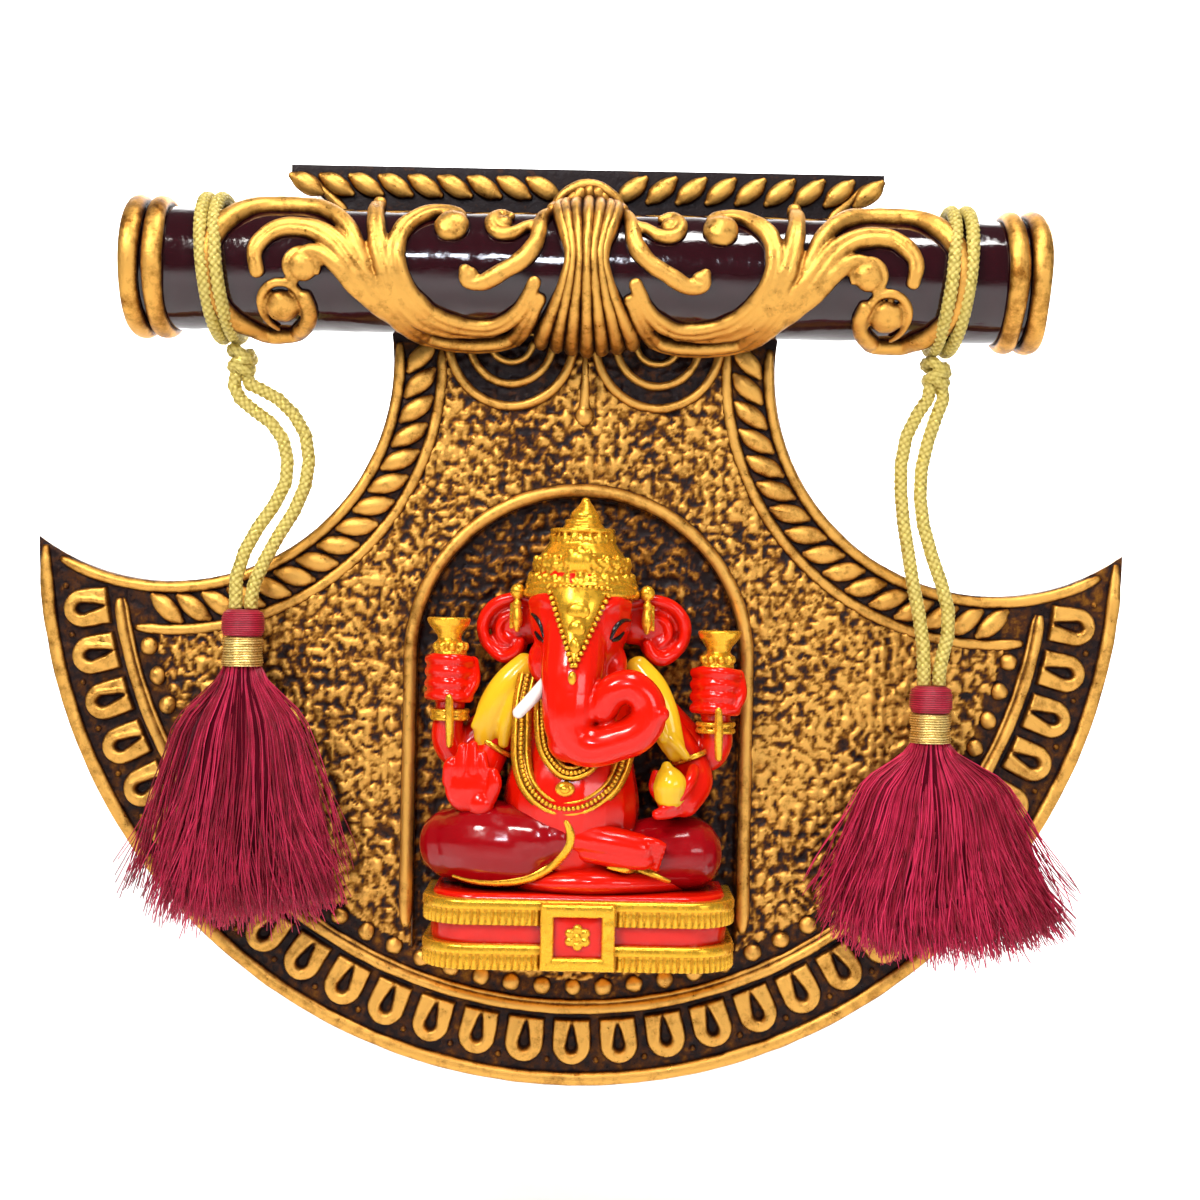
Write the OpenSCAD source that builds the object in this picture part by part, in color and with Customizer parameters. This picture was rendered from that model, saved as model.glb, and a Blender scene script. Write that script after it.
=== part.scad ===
// Wall plaque in the shape of an axe: a cast blade with relief borders, a turned handle with
// scrollwork, a seated elephant-headed figure in an arched niche, and two corded tassels.
// +X is to the viewer's right, +Y goes into the wall and +Z is up. The wall is the plane y = 0.
// The origin is the middle of the hanger's round hole, on the wall.
// Heights named _h are counted from the centre of the blade's arc.

/* [Blade] */
// Radius of the blade's cutting edge
blade_r = 108; // [100:1:120]
// Thickness of the blade
blade_t = 9; // [8:0.5:11]
// Radius of the round notch on each side
notch_r = 44; // [40:1:46]
// Sideways distance from the middle to a notch's centre
notch_x = 82; // [79:1:86]
// Height of a notch's centre
notch_h = 35; // [33:1:37]
// Height of the blade's top edge
top_h = 74.5; // [73:0.5:77]
// Height of the hanger's hole
hanger_h = 30; // [26:1:32]

/* [Borders] */
// Width of the bead round the cutting edge
rim_w = 2.8; // [2:0.1:3.4]
// Gap between the rim and the petals
rim_gap = 1.2; // [0.8:0.1:1.6]
// Length of a petal, along the radius
petal_l = 9.6; // [8:0.1:11]
// Width of a petal
petal_w = 7.8; // [6.6:0.1:8.4]
// Width of the ridge inside the petals
ridge_w = 3; // [2.4:0.1:3.6]
// Radius of the small beads
bead_r = 1.8; // [1.4:0.1:2]
// Gap between two small beads
bead_gap = 2.4; // [1.6:0.1:3.4]
// Radius of the half-round beads along the notches
edge_bead_r = 1.3; // [1:0.1:1.5]
// Width of the rope between those beads
rope_w = 5.2; // [4.4:0.1:5.6]
// How far the relief stands out of the blade
relief = 1.8; // [1.2:0.1:2.2]

/* [Niche] */
// Half the width of the niche, inside its arch
niche_r = 32.2; // [31:0.2:33]
// Height of the centre of the niche's round top
niche_h = -23; // [-24:0.5:-22]
// Depth of the niche in the blade
niche_d = 2.5; // [1.5:0.1:3.5]
// Width of the arch moulding
arch_w = 2.6; // [2:0.1:3.2]

/* [Handle] */
// Radius of the handle
rod_r = 12; // [11:0.2:12.6]
// Length of the handle
rod_l = 178; // [172:1:190]
// Distance from the handle's end to the middle of the cord that is wound round it
wind_in = 18; // [16:0.5:20]
// Height of the handle's axis
rod_h = 52.3; // [51:0.1:54]
// Gap between the wall and the back of the cord that is wound round the handle
wall_gap = 0.4; // [0.2:0.1:1]
// Width of a ring at the handle's ends
ring_w = 4.2; // [3.4:0.1:4.6]
// How far the scrollwork stands out of the handle
scroll_t = 1.8; // [1.2:0.1:2.2]

/* [Figure] */
// Sideways place of the figure's middle
figure_x = 1; // [0:0.5:2]
// Height of the underside of the pedestal
figure_h = -81; // [-83:0.1:-80]
// Width of the pedestal
pedestal_w = 60; // [56:1:62]
// Height of the pedestal
pedestal_t = 14; // [12:0.5:16]
// Distance from the niche's floor to the pedestal's front
pedestal_d = 24; // [21:0.5:25]

/* [Tassels] */
// Diameter of the cord
cord_d = 2.8; // [2.2:0.1:3]
// Radius of the knot under the handle
knot_r = 3; // [2.6:0.1:3.6]
// Radius of the wrapped head of a tassel
head_r = 4.2; // [3.8:0.1:4.8]
// Length of the wrapped head
head_l = 5.4; // [4:0.1:7]
// Length of the metallic band under the head
band_l = 5.8; // [4:0.1:7]
// Length of the left tassel's threads
left_skirt_l = 50; // [40:1:54]
// Length of the right tassel's threads
right_skirt_l = 42; // [36:1:48]
// Thickness of the threads, front to back
skirt_t = 10; // [8:0.5:11]

/* [Hanger] */
// Radius of the round hole that a nail's head goes through
hang_hole_r = 4.2; // [3.6:0.1:4.6]
// Width of the slot that the nail slides up into
hang_slot_w = 4.2; // [3.4:0.1:4.8]
// Thickness of the hanger plate
hang_t = 1.2; // [1:0.1:2]
// Depth of the pocket behind the plate
pocket_d = 5; // [4:0.1:5.6]

/* [Hidden] */

$fn = 64;
fit = 0.05;          // clearance between pieces that are glued together
hinge_gap = 0.3;     // clearance between a knot or a tassel's head and the cords that end there
gold = [0.72, 0.5, 0.2];
lacquer = [0.14, 0.03, 0.03];
vermilion = [0.85, 0.07, 0.03];
crimson = [0.55, 0.02, 0.04];
bright_gold = [0.85, 0.6, 0.12];
cord_yellow = [0.83, 0.74, 0.33];
thread_maroon = [0.5, 0.03, 0.12];

rod_y = -(rod_r + cord_d + wall_gap);      // the handle's axis lies in front of the wall
front_y = -blade_t;                        // the blade's front face
niche_y = front_y + niche_d;               // the niche's floor
edge_out = notch_r + edge_bead_r;          // radii of the three bands, from a notch's centre
rope_mid = notch_r + 2 * edge_bead_r + 0.3 + rope_w / 2;
edge_in = rope_mid + rope_w / 2 + 0.3 + edge_bead_r;
petal_in = blade_r - rim_w - rim_gap - petal_l;
ridge_out = petal_in - 0.6;
ridge_in = ridge_out - ridge_w;
bead_ring_r = ridge_in - 0.6 - bead_r;
border_rise = max(2 * edge_bead_r, relief) + 0.5;   // the highest relief that a tassel hangs over

// Distance and angle of a notch's centre, from the blade's arc centre
notch_far = norm([notch_x, notch_h]);
notch_turn = atan2(notch_h, notch_x);
// Angle, from a notch's centre, at which a band of radius r comes within reach of the arc's centre
function band_start(r, reach) =
  360 + notch_turn - acos((reach * reach - notch_far * notch_far - r * r) / (2 * r * notch_far));
// Angle below level at which a circle of radius r round the arc's centre is d from a notch's centre
function clear_of_notch(r, d) =
  acos((r * r + notch_far * notch_far - d * d) / (2 * r * notch_far)) - notch_turn;
border_out = edge_out + edge_bead_r + 0.4;
border_in = edge_in + edge_bead_r + 0.4;
// Angle at which it reaches a height h on the neck's side
function band_at(r, h) = 180 - asin((h - notch_h) / r);
under_rod_h = rod_h - rod_r - 1;
over_rod_h = rod_h + rod_r + 0.6;

// A point on the blade, from a place across and a height above the arc's centre
module at(x, y, h) { translate([x, y, h - hanger_h]) children(); }
// A flat outline drawn as seen from the front, as thick as t, with its back at y
module front_plate(y, t) { at(0, y, 0) rotate([90, 0, 0]) linear_extrude(t) children(); }
// A ring or part of one seen from the front, with the profile in (radius, height above y)
module front_ring(y, from = 0, turn = 360) {
  at(0, y, 0) rotate([90, 0, 0]) rotate_extrude(angle = turn, start = from) children();
}
module half_round(r) {
  intersection() {
    circle(r);
    translate([-r, 0]) square([2 * r, r]);
  }
}
module mirrored(left) { mirror([left ? 1 : 0, 0, 0]) children(); }
module block(lo, hi) { translate(lo) cube(hi - lo); }
// An ellipse as a polygon with 16 sides
function oval(a, b) = [for (i = [0:15]) [a * cos(22.5 * i), b * sin(22.5 * i)]];

/* ---- blade ---- */
module blade_outline() {
  difference() {
    union() {
      intersection() {
        circle(blade_r, $fn = 180);
        translate([-blade_r, -blade_r - 1]) square([2 * blade_r, blade_r + 1 + notch_h - notch_r / 2]);
      }
      translate([-notch_x, 0]) square([2 * notch_x, top_h]);
    }
    for (s = [-1, 1]) {
      translate([s * notch_x, notch_h]) circle(notch_r, $fn = 120);
      translate([s * notch_x - notch_r * (s > 0 ? 0.52 : 1), notch_h])
        square([1.52 * notch_r, top_h]);
    }
  }
}
module niche_outline() {
  translate([0, niche_h]) circle(niche_r);
  translate([-niche_r, figure_h - 0.3]) square([2 * niche_r, niche_h - figure_h + 0.3]);
}
module rod_shape(r, l) { at(-l / 2, rod_y, rod_h) rotate([0, 90, 0]) cylinder(r = r, h = l, $fn = 96); }
hang_w = 32;
hang_tall = 16;
screw_x = 11.5;
screw_r = 1.4;
module blade_plate() {
  color(gold) difference() {
    front_plate(0, blade_t) blade_outline();
    front_plate(niche_y, blade_t) niche_outline();
    rod_shape(rod_r + fit, rod_l);
    // let-in seat for the hanger plate, the pocket behind its hole, and the screws' holes
    block([-hang_w / 2 - fit, -hang_t, -hang_tall / 2 - fit], [hang_w / 2 + fit, 1, hang_tall / 2 + fit]);
    block([-hang_hole_r - 1, -hang_t - pocket_d, -hang_hole_r - 1], [hang_hole_r + 1, 0, hang_tall / 2 - 1]);
    for (s = [-1, 1]) translate([s * screw_x, 0, 0]) rotate([90, 0, 0]) cylinder(r = screw_r, h = 7);
  }
}
module blade_rim() {
  color(gold) front_ring(front_y, 181, 178)
    translate([blade_r - rim_w / 2, 0]) half_round(rim_w / 2);
}
module petal_band() {
  mid = petal_in + petal_l / 2;
  first = clear_of_notch(petal_in + 1, border_out) + asin(petal_w / 2 / petal_in);
  n = floor((180 - 2 * first) / (2 * asin((petal_w / 2 + 0.7) / mid)));
  color(gold) for (i = [0:n])
    front_plate(front_y, relief) rotate(180 + first + i * (180 - 2 * first) / n)
      translate([petal_in, 0]) difference() {
        union() {
          translate([0, -petal_w / 2]) square([petal_l - petal_w / 2, petal_w]);
          translate([petal_l - petal_w / 2, 0]) circle(petal_w / 2);
        }
        translate([petal_l - petal_w / 2, 0]) polygon(oval(petal_w * 0.32, petal_w * 0.2));
      }
}
module ridge_ring() {
  mid = (ridge_in + ridge_out) / 2;
  first = clear_of_notch(mid, border_out + ridge_w / 2);
  color(gold) front_ring(front_y, 180 + first, 180 - 2 * first) translate([mid, 0]) half_round(ridge_w / 2);
}
module bead_row() {
  first = clear_of_notch(bead_ring_r, border_in + bead_r);
  n = floor((180 - 2 * first) / (2 * asin((bead_r + bead_gap / 2) / bead_ring_r)));
  color(gold) for (i = [0:n]) {
    a = 180 + first + i * (180 - 2 * first) / n;
    at(bead_ring_r * cos(a), front_y, bead_ring_r * sin(a)) difference() {
      sphere(bead_r, $fn = 32);
      translate([-bead_r, 0, -bead_r]) cube(2 * bead_r);
    }
  }
}
// The two half-round beads beside a notch, under the handle, and the outer one above it
module edge_beads(left) {
  color(gold) mirrored(left) translate([notch_x, 0, notch_h]) {
    for (r = [edge_out, edge_in])
      front_ring(front_y, band_at(r, under_rod_h),
                 band_start(r, r == edge_out ? blade_r - rim_w - 1.5 : ridge_in - 0.4) - band_at(r, under_rod_h))
        translate([r, 0]) half_round(edge_bead_r);
    front_ring(front_y, band_at(edge_out, top_h - 2), band_at(edge_out, over_rod_h) - band_at(edge_out, top_h - 2))
      translate([edge_out, 0]) half_round(edge_bead_r);
  }
}
// One strand of a rope in relief
module rope_strand(w) { linear_extrude(relief + 0.6) polygon(oval(w * 0.62, w * 0.24)); }
module side_rope(left) {
  pitch = 360 * 5.3 / (2 * PI * rope_mid);
  from = band_at(rope_mid, under_rod_h) + pitch / 2;
  n = floor((band_start(rope_mid, ridge_in) - 3 - from) / pitch);
  color(gold) mirrored(left) at(notch_x, front_y, notch_h) rotate([90, 0, 0])
    for (i = [0:n]) rotate(from + i * pitch) translate([rope_mid, 0]) rotate(-45) rope_strand(rope_w);
}
module top_rope() {
  rope_h = top_h - 2 - rope_w / 2;
  half = notch_x - sqrt(notch_r * notch_r - (rope_h - notch_h) * (rope_h - notch_h)) - 9;
  n = floor(2 * half / 5.3);
  color(gold) at(0, front_y, rope_h) rotate([90, 0, 0])
    for (i = [0:n]) translate([-half + i * 2 * half / n, 0]) rotate(40) rope_strand(rope_w * 0.9);
}
module niche_arch() {
  mid = niche_r + fit + arch_w / 2;
  leg = niche_h - figure_h - 4;
  color(gold) {
    at(0, 0, niche_h) translate([0, 0, hanger_h])
      front_ring(front_y, 0, 180) translate([mid, 0]) half_round(arch_w / 2);
    for (s = [-1, 1])
      at(s * mid, front_y, niche_h - leg) linear_extrude(leg)
        rotate(180) half_round(arch_w / 2);
  }
}
// Three hanging arcs on each side, under the handle
module swags() {
  color(gold) for (s = [-1, 1], r = [3.5, 7.5, 11])
    translate([s * 14.5, 0, under_rod_h + 1]) front_ring(front_y, 190, 160)
      translate([r, 0]) half_round(0.8);
}
module drop_pendant() {
  color(gold) {
    at(0, front_y, under_rod_h - 14) intersection() {
      sphere(1.9);
      block([-2, -2, -2], [2, 0, 2]);
    }
    at(0, front_y, under_rod_h - 13) linear_extrude(12) rotate(180) half_round(0.8);
  }
}

/* ---- handle ---- */
// A band round the handle, from place x, with a profile in (radius, along the handle)
module round_rod(x, from = 0, turn = 360) {
  at(x, rod_y, rod_h) rotate([0, 90, 0]) rotate_extrude(angle = turn, start = from) children();
}
module rod() { color(lacquer) rod_shape(rod_r, rod_l); }
module end_rings(left) {
  color(gold) mirrored(left) for (i = [0, 1])
    round_rod(rod_l / 2 - ring_w * (i + 0.5) - 0.3 * (i + 1)) intersection() {
      translate([rod_r + fit, 0]) circle(ring_w / 2);
      translate([rod_r + fit, -ring_w]) square([ring_w, 2 * ring_w]);
    }
}
windings_x = rod_l / 2 - wind_in;      // between the two turns of cord
scroll_end = windings_x - cord_d - hinge_gap;
// Scrolls cut from a sleeve round the handle's front
module scroll(left) {
  c_r = 9;
  w = 2.2;
  color(gold) mirrored(left) intersection() {
    difference() {
      rod_shape(rod_r + scroll_t, rod_l);
      rod_shape(rod_r + fit, rod_l);
      block([-rod_l, rod_y + 1, -blade_r], [rod_l, 20, blade_r]);
    }
    at(0, rod_y, rod_h) rotate([90, 0, 0]) linear_extrude(2 * rod_r, $fn = 64) {
      translate([scroll_end - c_r - w / 2, 0]) scroll_arc(c_r, w, -120, 230);
      translate([scroll_end - c_r - 8, -6]) circle(2.4);
      translate([scroll_end - 24, -1]) scroll_arc(6, w, 20, 150);
      translate([scroll_end - 24 - 14, 4]) scroll_arc(12.5, w, 180, 165);
      translate([scroll_end - 50, -2]) circle(2);
    }
  }
}
module scroll_arc(r, w, from, turn) {
  n = 24;
  polygon([for (i = [0:n]) (r + w / 2) * [cos(from + turn * i / n), sin(from + turn * i / n)],
           for (i = [n:-1:0]) (r - w / 2) * [cos(from + turn * i / n), sin(from + turn * i / n)]]);
}
module leaf_clasp() {
  color(gold) difference() {
    for (i = [-2:2]) round_rod(i * 3.1, 170, 200)
      translate([rod_r + fit, -1.5]) square([3 - abs(i) * 0.4, 3]);
    block([-20, front_y - fit, -blade_r], [20, 20, blade_r]);
  }
}

/* ---- hanger ---- */
module hanger_plate() {
  color("silver") difference() {
    block([-hang_w / 2, -hang_t, -hang_tall / 2], [hang_w / 2, 0, hang_tall / 2]);
    translate([0, 1, 0]) rotate([90, 0, 0]) cylinder(r = hang_hole_r, h = hang_t + 2);
    block([-hang_slot_w / 2, -hang_t - 1, 0], [hang_slot_w / 2, 1, hang_tall / 2 - 2.4]);
    for (s = [-1, 1]) translate([s * screw_x, 1, 0]) rotate([90, 0, 0]) {
      cylinder(r = screw_r + fit, h = hang_t + 2);
      cylinder(r = 2.6, h = 1 + hang_t * 0.6);
    }
  }
}
module hanger_screws() {
  color("silver") for (s = [-1, 1]) translate([s * screw_x, 0, 0]) rotate([90, 0, 0]) {
    translate([0, 0, fit]) cylinder(r = 2.5, h = hang_t * 0.6 - fit);
    cylinder(r = screw_r - fit, h = 6.6);
  }
}

/* ---- figure ---- */
// A point of the figure: across from its middle, out from the niche's floor, and up from its foot
module fig(x, out, up) { at(figure_x + x, niche_y - out, figure_h + up) children(); }
// A ball at a point of the figure
module ball(p, r) { fig(p[0], p[1], p[2]) sphere(r, $fn = 18); }
// A limb that runs from ball to ball, grown by g so that a neighbour can be cut clear of it
module limb(p, r, g = 0) {
  for (i = [1:len(p) - 1]) hull() {
    ball(p[i - 1], r[i - 1] + g);
    ball(p[i], r[i] + g);
  }
}
// Keeps what lies in front of the niche's floor
module in_front() {
  intersection() {
    children();
    block([-blade_r, niche_y - 60, -2 * blade_r], [blade_r, niche_y - fit, blade_r]);
  }
}
module pedestal_slab(inset, from, up) {
  r = 9;
  w = pedestal_w / 2 - inset;
  d = pedestal_d - inset;
  fig(0, 0, from) linear_extrude(up) difference() {
    union() {
      translate([-w, -d + r]) square([2 * w, d - r - fit]);
      translate([-w + r, -d]) square([2 * w - 2 * r, d - fit]);
      for (s = [-1, 1]) translate([s * (w - r), -d + r]) circle(r);
    }
  }
}
band_t = 4.8;
upper_from = pedestal_t - 5.6;
module pedestal() {
  color(vermilion) difference() {
    pedestal_slab(1.6, 0, pedestal_t);
    plaque_shape(fit);
  }
}
module pedestal_band(from) {
  color(bright_gold) difference() {
    pedestal_slab(0, from, band_t);
    pedestal_slab(1.6 - fit, from - 1, band_t + 2);
    plaque_shape(fit);
  }
}
module pedestal_upper_band() { pedestal_band(upper_from); }
module pedestal_lower_band() { pedestal_band(0); }
module plaque_shape(grow) {
  fig(0, pedestal_d + 1.4, pedestal_t / 2 - 0.5)
    block([-7 - grow, -grow, -6.3 - grow], [7 + grow, 3.2 + grow, 6.3 + grow]);
}
module pedestal_plaque() {
  color(bright_gold) difference() {
    plaque_shape(0);
    fig(0, pedestal_d + 1.4, pedestal_t / 2 - 0.5) block([-4.3, -1, -3.4], [4.3, 1.2, 3.4]);
  }
}
module pedestal_rosette() {
  color(bright_gold) fig(0, pedestal_d + 0.2, pedestal_t / 2 - 0.5) rotate([90, 0, 0]) {
    cylinder(r = 1.2, h = 0.9);
    for (i = [0:5]) rotate(60 * i) translate([1.9, 0, 0]) cylinder(r = 0.75, h = 0.6);
  }
}
// The seat: nothing of the figure reaches below the pedestal's top
module on_seat() {
  intersection() {
    in_front() children();
    fig(0, 0, pedestal_t) translate([-blade_r, -60, 0]) cube([2 * blade_r, 60, blade_r]);
  }
}
module foot_form(g) {
  limb([[-3, 19, 24.6], [5, 21.4, 23.4], [11, 21.8, 21.4]], [4.2, 3.8, 3], g);
  for (i = [0:4])
    limb([[12, 22 - i * 0.9, 22.6 - i * 1.1], [15.2, 21.8 - i * 0.9, 21.6 - i * 1.1]], [1.1, 0.9], g);
}
module left_thigh_form(g) {
  limb([[-25, 11, 21.4], [-19, 14.5, 22.4], [-11, 15, 22.2], [-3, 12, 21]], [6.6, 8.2, 8, 6.6], g);
}
module right_thigh_form(g) { limb([[21, 12, 22.2], [13, 11, 21.4], [6, 10, 20]], [8, 7, 6], g); }
module torso_form(g) {
  limb([[-1.6, 10.5, 33], [-1, 8.5, 45], [0, 8, 53]], [12.4, 10, 7.6], g);
  limb([[-11.4, 6.4, 51], [12.6, 6.4, 51]], [4.6, 4.6], g);
}
module trunk_form(g) {
  limb([[-2.6, 20.5, 61], [-2, 22.5, 54.5], [-1, 24, 49], [1.6, 25, 46], [6, 25.8, 44.7], [10.6, 26.2, 45.5],
        [13.4, 26.4, 49], [12, 26.6, 53], [8.6, 26.6, 54.3]],
       [5.8, 5.2, 4.6, 4, 3.4, 3, 2.8, 2.5, 2.2], g);
}
module head_form(g) { limb([[-0.4, 11, 66], [-1, 13, 62]], [10.4, 9], g); }
module ear_form(left, g) {
  s = left ? -1 : 1;
  limb([[s * 9, 7, 68], [s * 15, 6, 67], [s * 15.5, 6, 61.5], [s * 11, 7, 58]], [2.4, 3.6, 2.8, 1.8], g);
}
module crown_form(g) {
  fig(-0.5, 10, 71.5) rotate_extrude($fn = 36) polygon([
    [0, -g], [10.2 + g, -g], [10.4 + g, 4], [8.4 + g, 6], [6.4 + g, 7.4], [5.8 + g, 11], [2.7 + g, 12.6],
    [2.5 + g, 15.4], [0, 17.6 + g]
  ]);
}
// The two raised arms: shoulder, elbow, then a fist that holds an emblem
function rear_arm(left) =
  left ? [[-14, 5.5, 50], [-22, 7, 43], [-25.4, 9, 46], [-25, 12, 55]] : [[15, 5.5, 50], [23, 7, 42], [26, 9, 45], [25.8, 12, 53]];
module rear_arm_form(left, g) { limb(rear_arm(left), [3.2, 3, 2.8, 3.6], g); }
module emblem_form(left, g) {
  p = rear_arm(left)[3];
  fig(p[0], p[1] + 2, p[2] - 14) cylinder(r = 0.9 + g, h = 18, $fn = 16);
  fig(p[0], p[1] + 1, p[2] + 3.2) rotate_extrude($fn = 24) polygon([
    [0, -g], [2.4 + g, -g], [2 + g, 2.6], [4.2 + g, 5.2], [4.2 + g, 6.4 + g], [0, 6.4 + g]
  ]);
}
module shawl_form(g) {
  limb([[-9, 11, 55], [-12.5, 11, 49], [-14.5, 10, 42]], [2.6, 3.6, 2.4], g);
  limb([[9, 11, 54], [13, 12, 48.5], [16.5, 11, 43]], [2.6, 3, 2.4], g);
}
module left_hand_form(g) { limb([[-16, 8, 45], [-19.4, 14, 34.6], [-19.6, 17, 37.6], [-20, 18.4, 41]], [3.2, 3, 4, 3], g); }
module right_hand_form(g) { limb([[18, 9, 44], [20.4, 13, 36], [18.6, 17.5, 33.4]], [3, 3, 3.4], g); }
module modak_form(g) { limb([[17.6, 18.6, 38.4], [17.6, 18.8, 41.2]], [2.9, 1.8], g); }

module folded_foot() { color(vermilion) on_seat() foot_form(0); }
module left_thigh() {
  color(crimson) on_seat() difference() {
    left_thigh_form(0);
    foot_form(fit);
  }
}
// Both legs, which the body sits behind
module legs_form() {
  foot_form(fit);
  left_thigh_form(fit);
}
module right_thigh() {
  color(crimson) on_seat() difference() {
    right_thigh_form(0);
    legs_form();
  }
}
module torso() {
  color(vermilion) on_seat() difference() {
    torso_form(0);
    legs_form();
    right_thigh_form(fit);
  }
}
module head() {
  color(vermilion) in_front() difference() {
    head_form(0);
    torso_form(fit);
    trunk_form(fit);
  }
}
module trunk() {
  color(vermilion) difference() {
    trunk_form(0);
    torso_form(fit);
  }
}
// The head and what hangs from it
module face_form() {
  torso_form(fit);
  trunk_form(fit);
  head_form(fit);
}
module ear(left) {
  color(vermilion) in_front() difference() {
    ear_form(left, 0);
    face_form();
  }
}
module left_ear() { ear(true); }
module right_ear() { ear(false); }
module crown() {
  color(bright_gold) in_front() difference() {
    crown_form(0);
    face_form();
    ear_form(true, fit);
    ear_form(false, fit);
  }
}
module tusk() {
  color("ivory") difference() {
    limb([[-6, 19, 58], [-9, 21.5, 54], [-12, 22.4, 52]], [1.5, 1.2, 0.7]);
    face_form();
  }
}
module shawl() {
  color("gold") in_front() difference() {
    shawl_form(0);
    face_form();
    ear_form(true, fit);
    ear_form(false, fit);
  }
}
module necklace() {
  color(bright_gold) difference() {
    limb([[-8, 17, 52], [-7.6, 20, 42], [-5, 23.5, 34], [-1, 24.2, 31], [3, 23.6, 33.5], [6.4, 21, 40], [7.6, 18, 46]],
         [1.1, 1.1, 1.2, 1.5, 1.2, 1.1, 1.1]);
    face_form();
    legs_form();
    shawl_form(fit);
  }
}
module emblem(left) {
  color(bright_gold) in_front() difference() {
    emblem_form(left, 0);
    face_form();
    ear_form(left, fit);
  }
}
module rear_left_emblem() { emblem(true); }
module rear_right_emblem() { emblem(false); }
module rear_arm_piece(left) {
  color(vermilion) in_front() difference() {
    rear_arm_form(left, 0);
    face_form();
    ear_form(left, fit);
    shawl_form(fit);
    emblem_form(left, fit);
  }
}
module rear_left_arm() { rear_arm_piece(true); }
module rear_right_arm() { rear_arm_piece(false); }
// What the front arms reach round
module behind_hands_form(left) {
  face_form();
  legs_form();
  right_thigh_form(fit);
  shawl_form(fit);
  rear_arm_form(left, fit);
  emblem_form(left, fit);
}
module front_left_arm() {
  color(vermilion) in_front() difference() {
    left_hand_form(0);
    behind_hands_form(true);
  }
}
module front_right_arm() {
  color(vermilion) in_front() difference() {
    right_hand_form(0);
    behind_hands_form(false);
    modak_form(fit);
  }
}
module modak() {
  color("gold") difference() {
    modak_form(0);
    behind_hands_form(false);
  }
}

/* ---- tassels ---- */
knot_h = rod_h - rod_r - cord_d - hinge_gap - knot_r;
tassel_y = front_y - border_rise - skirt_t / 2 - 0.4;
function knot_x(left) = left ? -67 : 69;
function head_x(left) = left ? -65.4 : 68.8;
function head_h(left) = left ? -14.2 : -26.6;      // the top of a tassel's head
// Routes of the four strands, across and height, from under the knot down to the head
left_inner = [[-68.5, 30.8], [-68.5, 29.4], [-67.2, 26.8], [-64.4, 24.6], [-61, 22.2], [-58.6, 19], [-57.6, 15],
              [-57.8, 10.6], [-60, 6], [-63, 1.6], [-65.4, -3], [-66.9, -8], [-66.9, -12.4], [-66.9, -14.2]];
left_outer = [[-65.5, 30.8], [-65.5, 29.8], [-63.4, 28.9], [-59.8, 27], [-56.6, 24], [-54.2, 20], [-53.4, 15],
              [-54, 10], [-56, 5], [-59, 0], [-61.6, -5], [-63.4, -9.4], [-63.9, -12.4], [-63.9, -14.2]];
right_inner = [[67.5, 30.8], [67.5, 29.4], [65.6, 26.6], [63.4, 22], [62.4, 16.6], [62.4, 11], [63, 5], [64, -1],
               [65, -7], [66.2, -13], [67.1, -19], [67.3, -23.8], [67.3, -26.6]];
right_outer = [[70.5, 30.8], [70.5, 29.4], [69.2, 26], [67.6, 21], [66.4, 15.6], [66.2, 10], [66.9, 4.6],
               [68.6, -1.4], [70.6, -7], [71.9, -12], [71.8, -17], [70.7, -21.6], [70.3, -24.4], [70.3, -26.6]];
// The cord comes forward from the knot to the tassel's middle, and leaves both straight
function swing_y(h, left) =
  let (t = (knot_h - h) / (knot_h - head_h(left)))
  rod_y + (tassel_y - rod_y) * min(1, max(0, (t - 0.15) / 0.7));
function route(points, left) = [for (p = points) [p[0], swing_y(p[1], left), p[1] - hanger_h]];
function unit(v) = v / norm(v);
function heading(p, i) = unit(p[min(i + 1, len(p) - 1)] - p[max(i - 1, 0)]);
function ring(c, t, r, n) =
  let (side = unit(cross(t, [0, 1, 0])), up = cross(side, t))
  [for (k = [0:n - 1]) c + r * (side * cos(360 * k / n) + up * sin(360 * k / n))];
module tube(p, r, n = 8) {
  last = len(p) - 1;
  polyhedron(
    points = [for (i = [0:last]) each ring(p[i], heading(p, i), r, n)],
    faces = concat(
      [[for (k = [n - 1:-1:0]) k]],
      [for (i = [0:last - 1], k = [0:n - 1])
        each [[i * n + k, i * n + (k + 1) % n, (i + 1) * n + (k + 1) % n],
              [i * n + k, (i + 1) * n + (k + 1) % n, (i + 1) * n + k]]],
      [[for (k = [0:n - 1]) last * n + k]]));
}
module windings(left) {
  color(cord_yellow) mirrored(left) for (s = [-0.5, 0.5])
    round_rod(windings_x + s * (cord_d + 0.1)) translate([rod_r + fit + cord_d / 2, 0]) circle(cord_d / 2);
}
module knot(left) {
  color(cord_yellow) at(knot_x(left), rod_y + knot_r, knot_h) rotate([90, 0, 0])
    cylinder(r = knot_r, h = 2 * knot_r);
}
module at_head(left) { at(head_x(left), tassel_y, head_h(left)) children(); }
module tassel_head(left) {
  color(thread_maroon) at_head(left) translate([0, 0, -head_l]) cylinder(r = head_r, h = head_l);
}
module tassel_band(left) {
  color(bright_gold) at_head(left) translate([0, 0, -head_l - band_l]) cylinder(r = head_r - 0.1, h = band_l);
}
// The threads, flattened as they lie, fuller at the bottom
module tassel_skirt(left) {
  l = left ? left_skirt_l : right_skirt_l;
  half = left ? 20 : 24;
  color(thread_maroon) at_head(left) translate([0, 0, -head_l - band_l]) hull() {
    translate([0, 0, -1]) linear_extrude(1) polygon(oval(head_r, head_r));
    translate([0, 0, -l * 0.45]) linear_extrude(1) polygon(oval(half * 0.72, skirt_t / 2));
    translate([0, 0, -l]) linear_extrude(1) polygon(oval(half, skirt_t / 2));
  }
}

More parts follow.
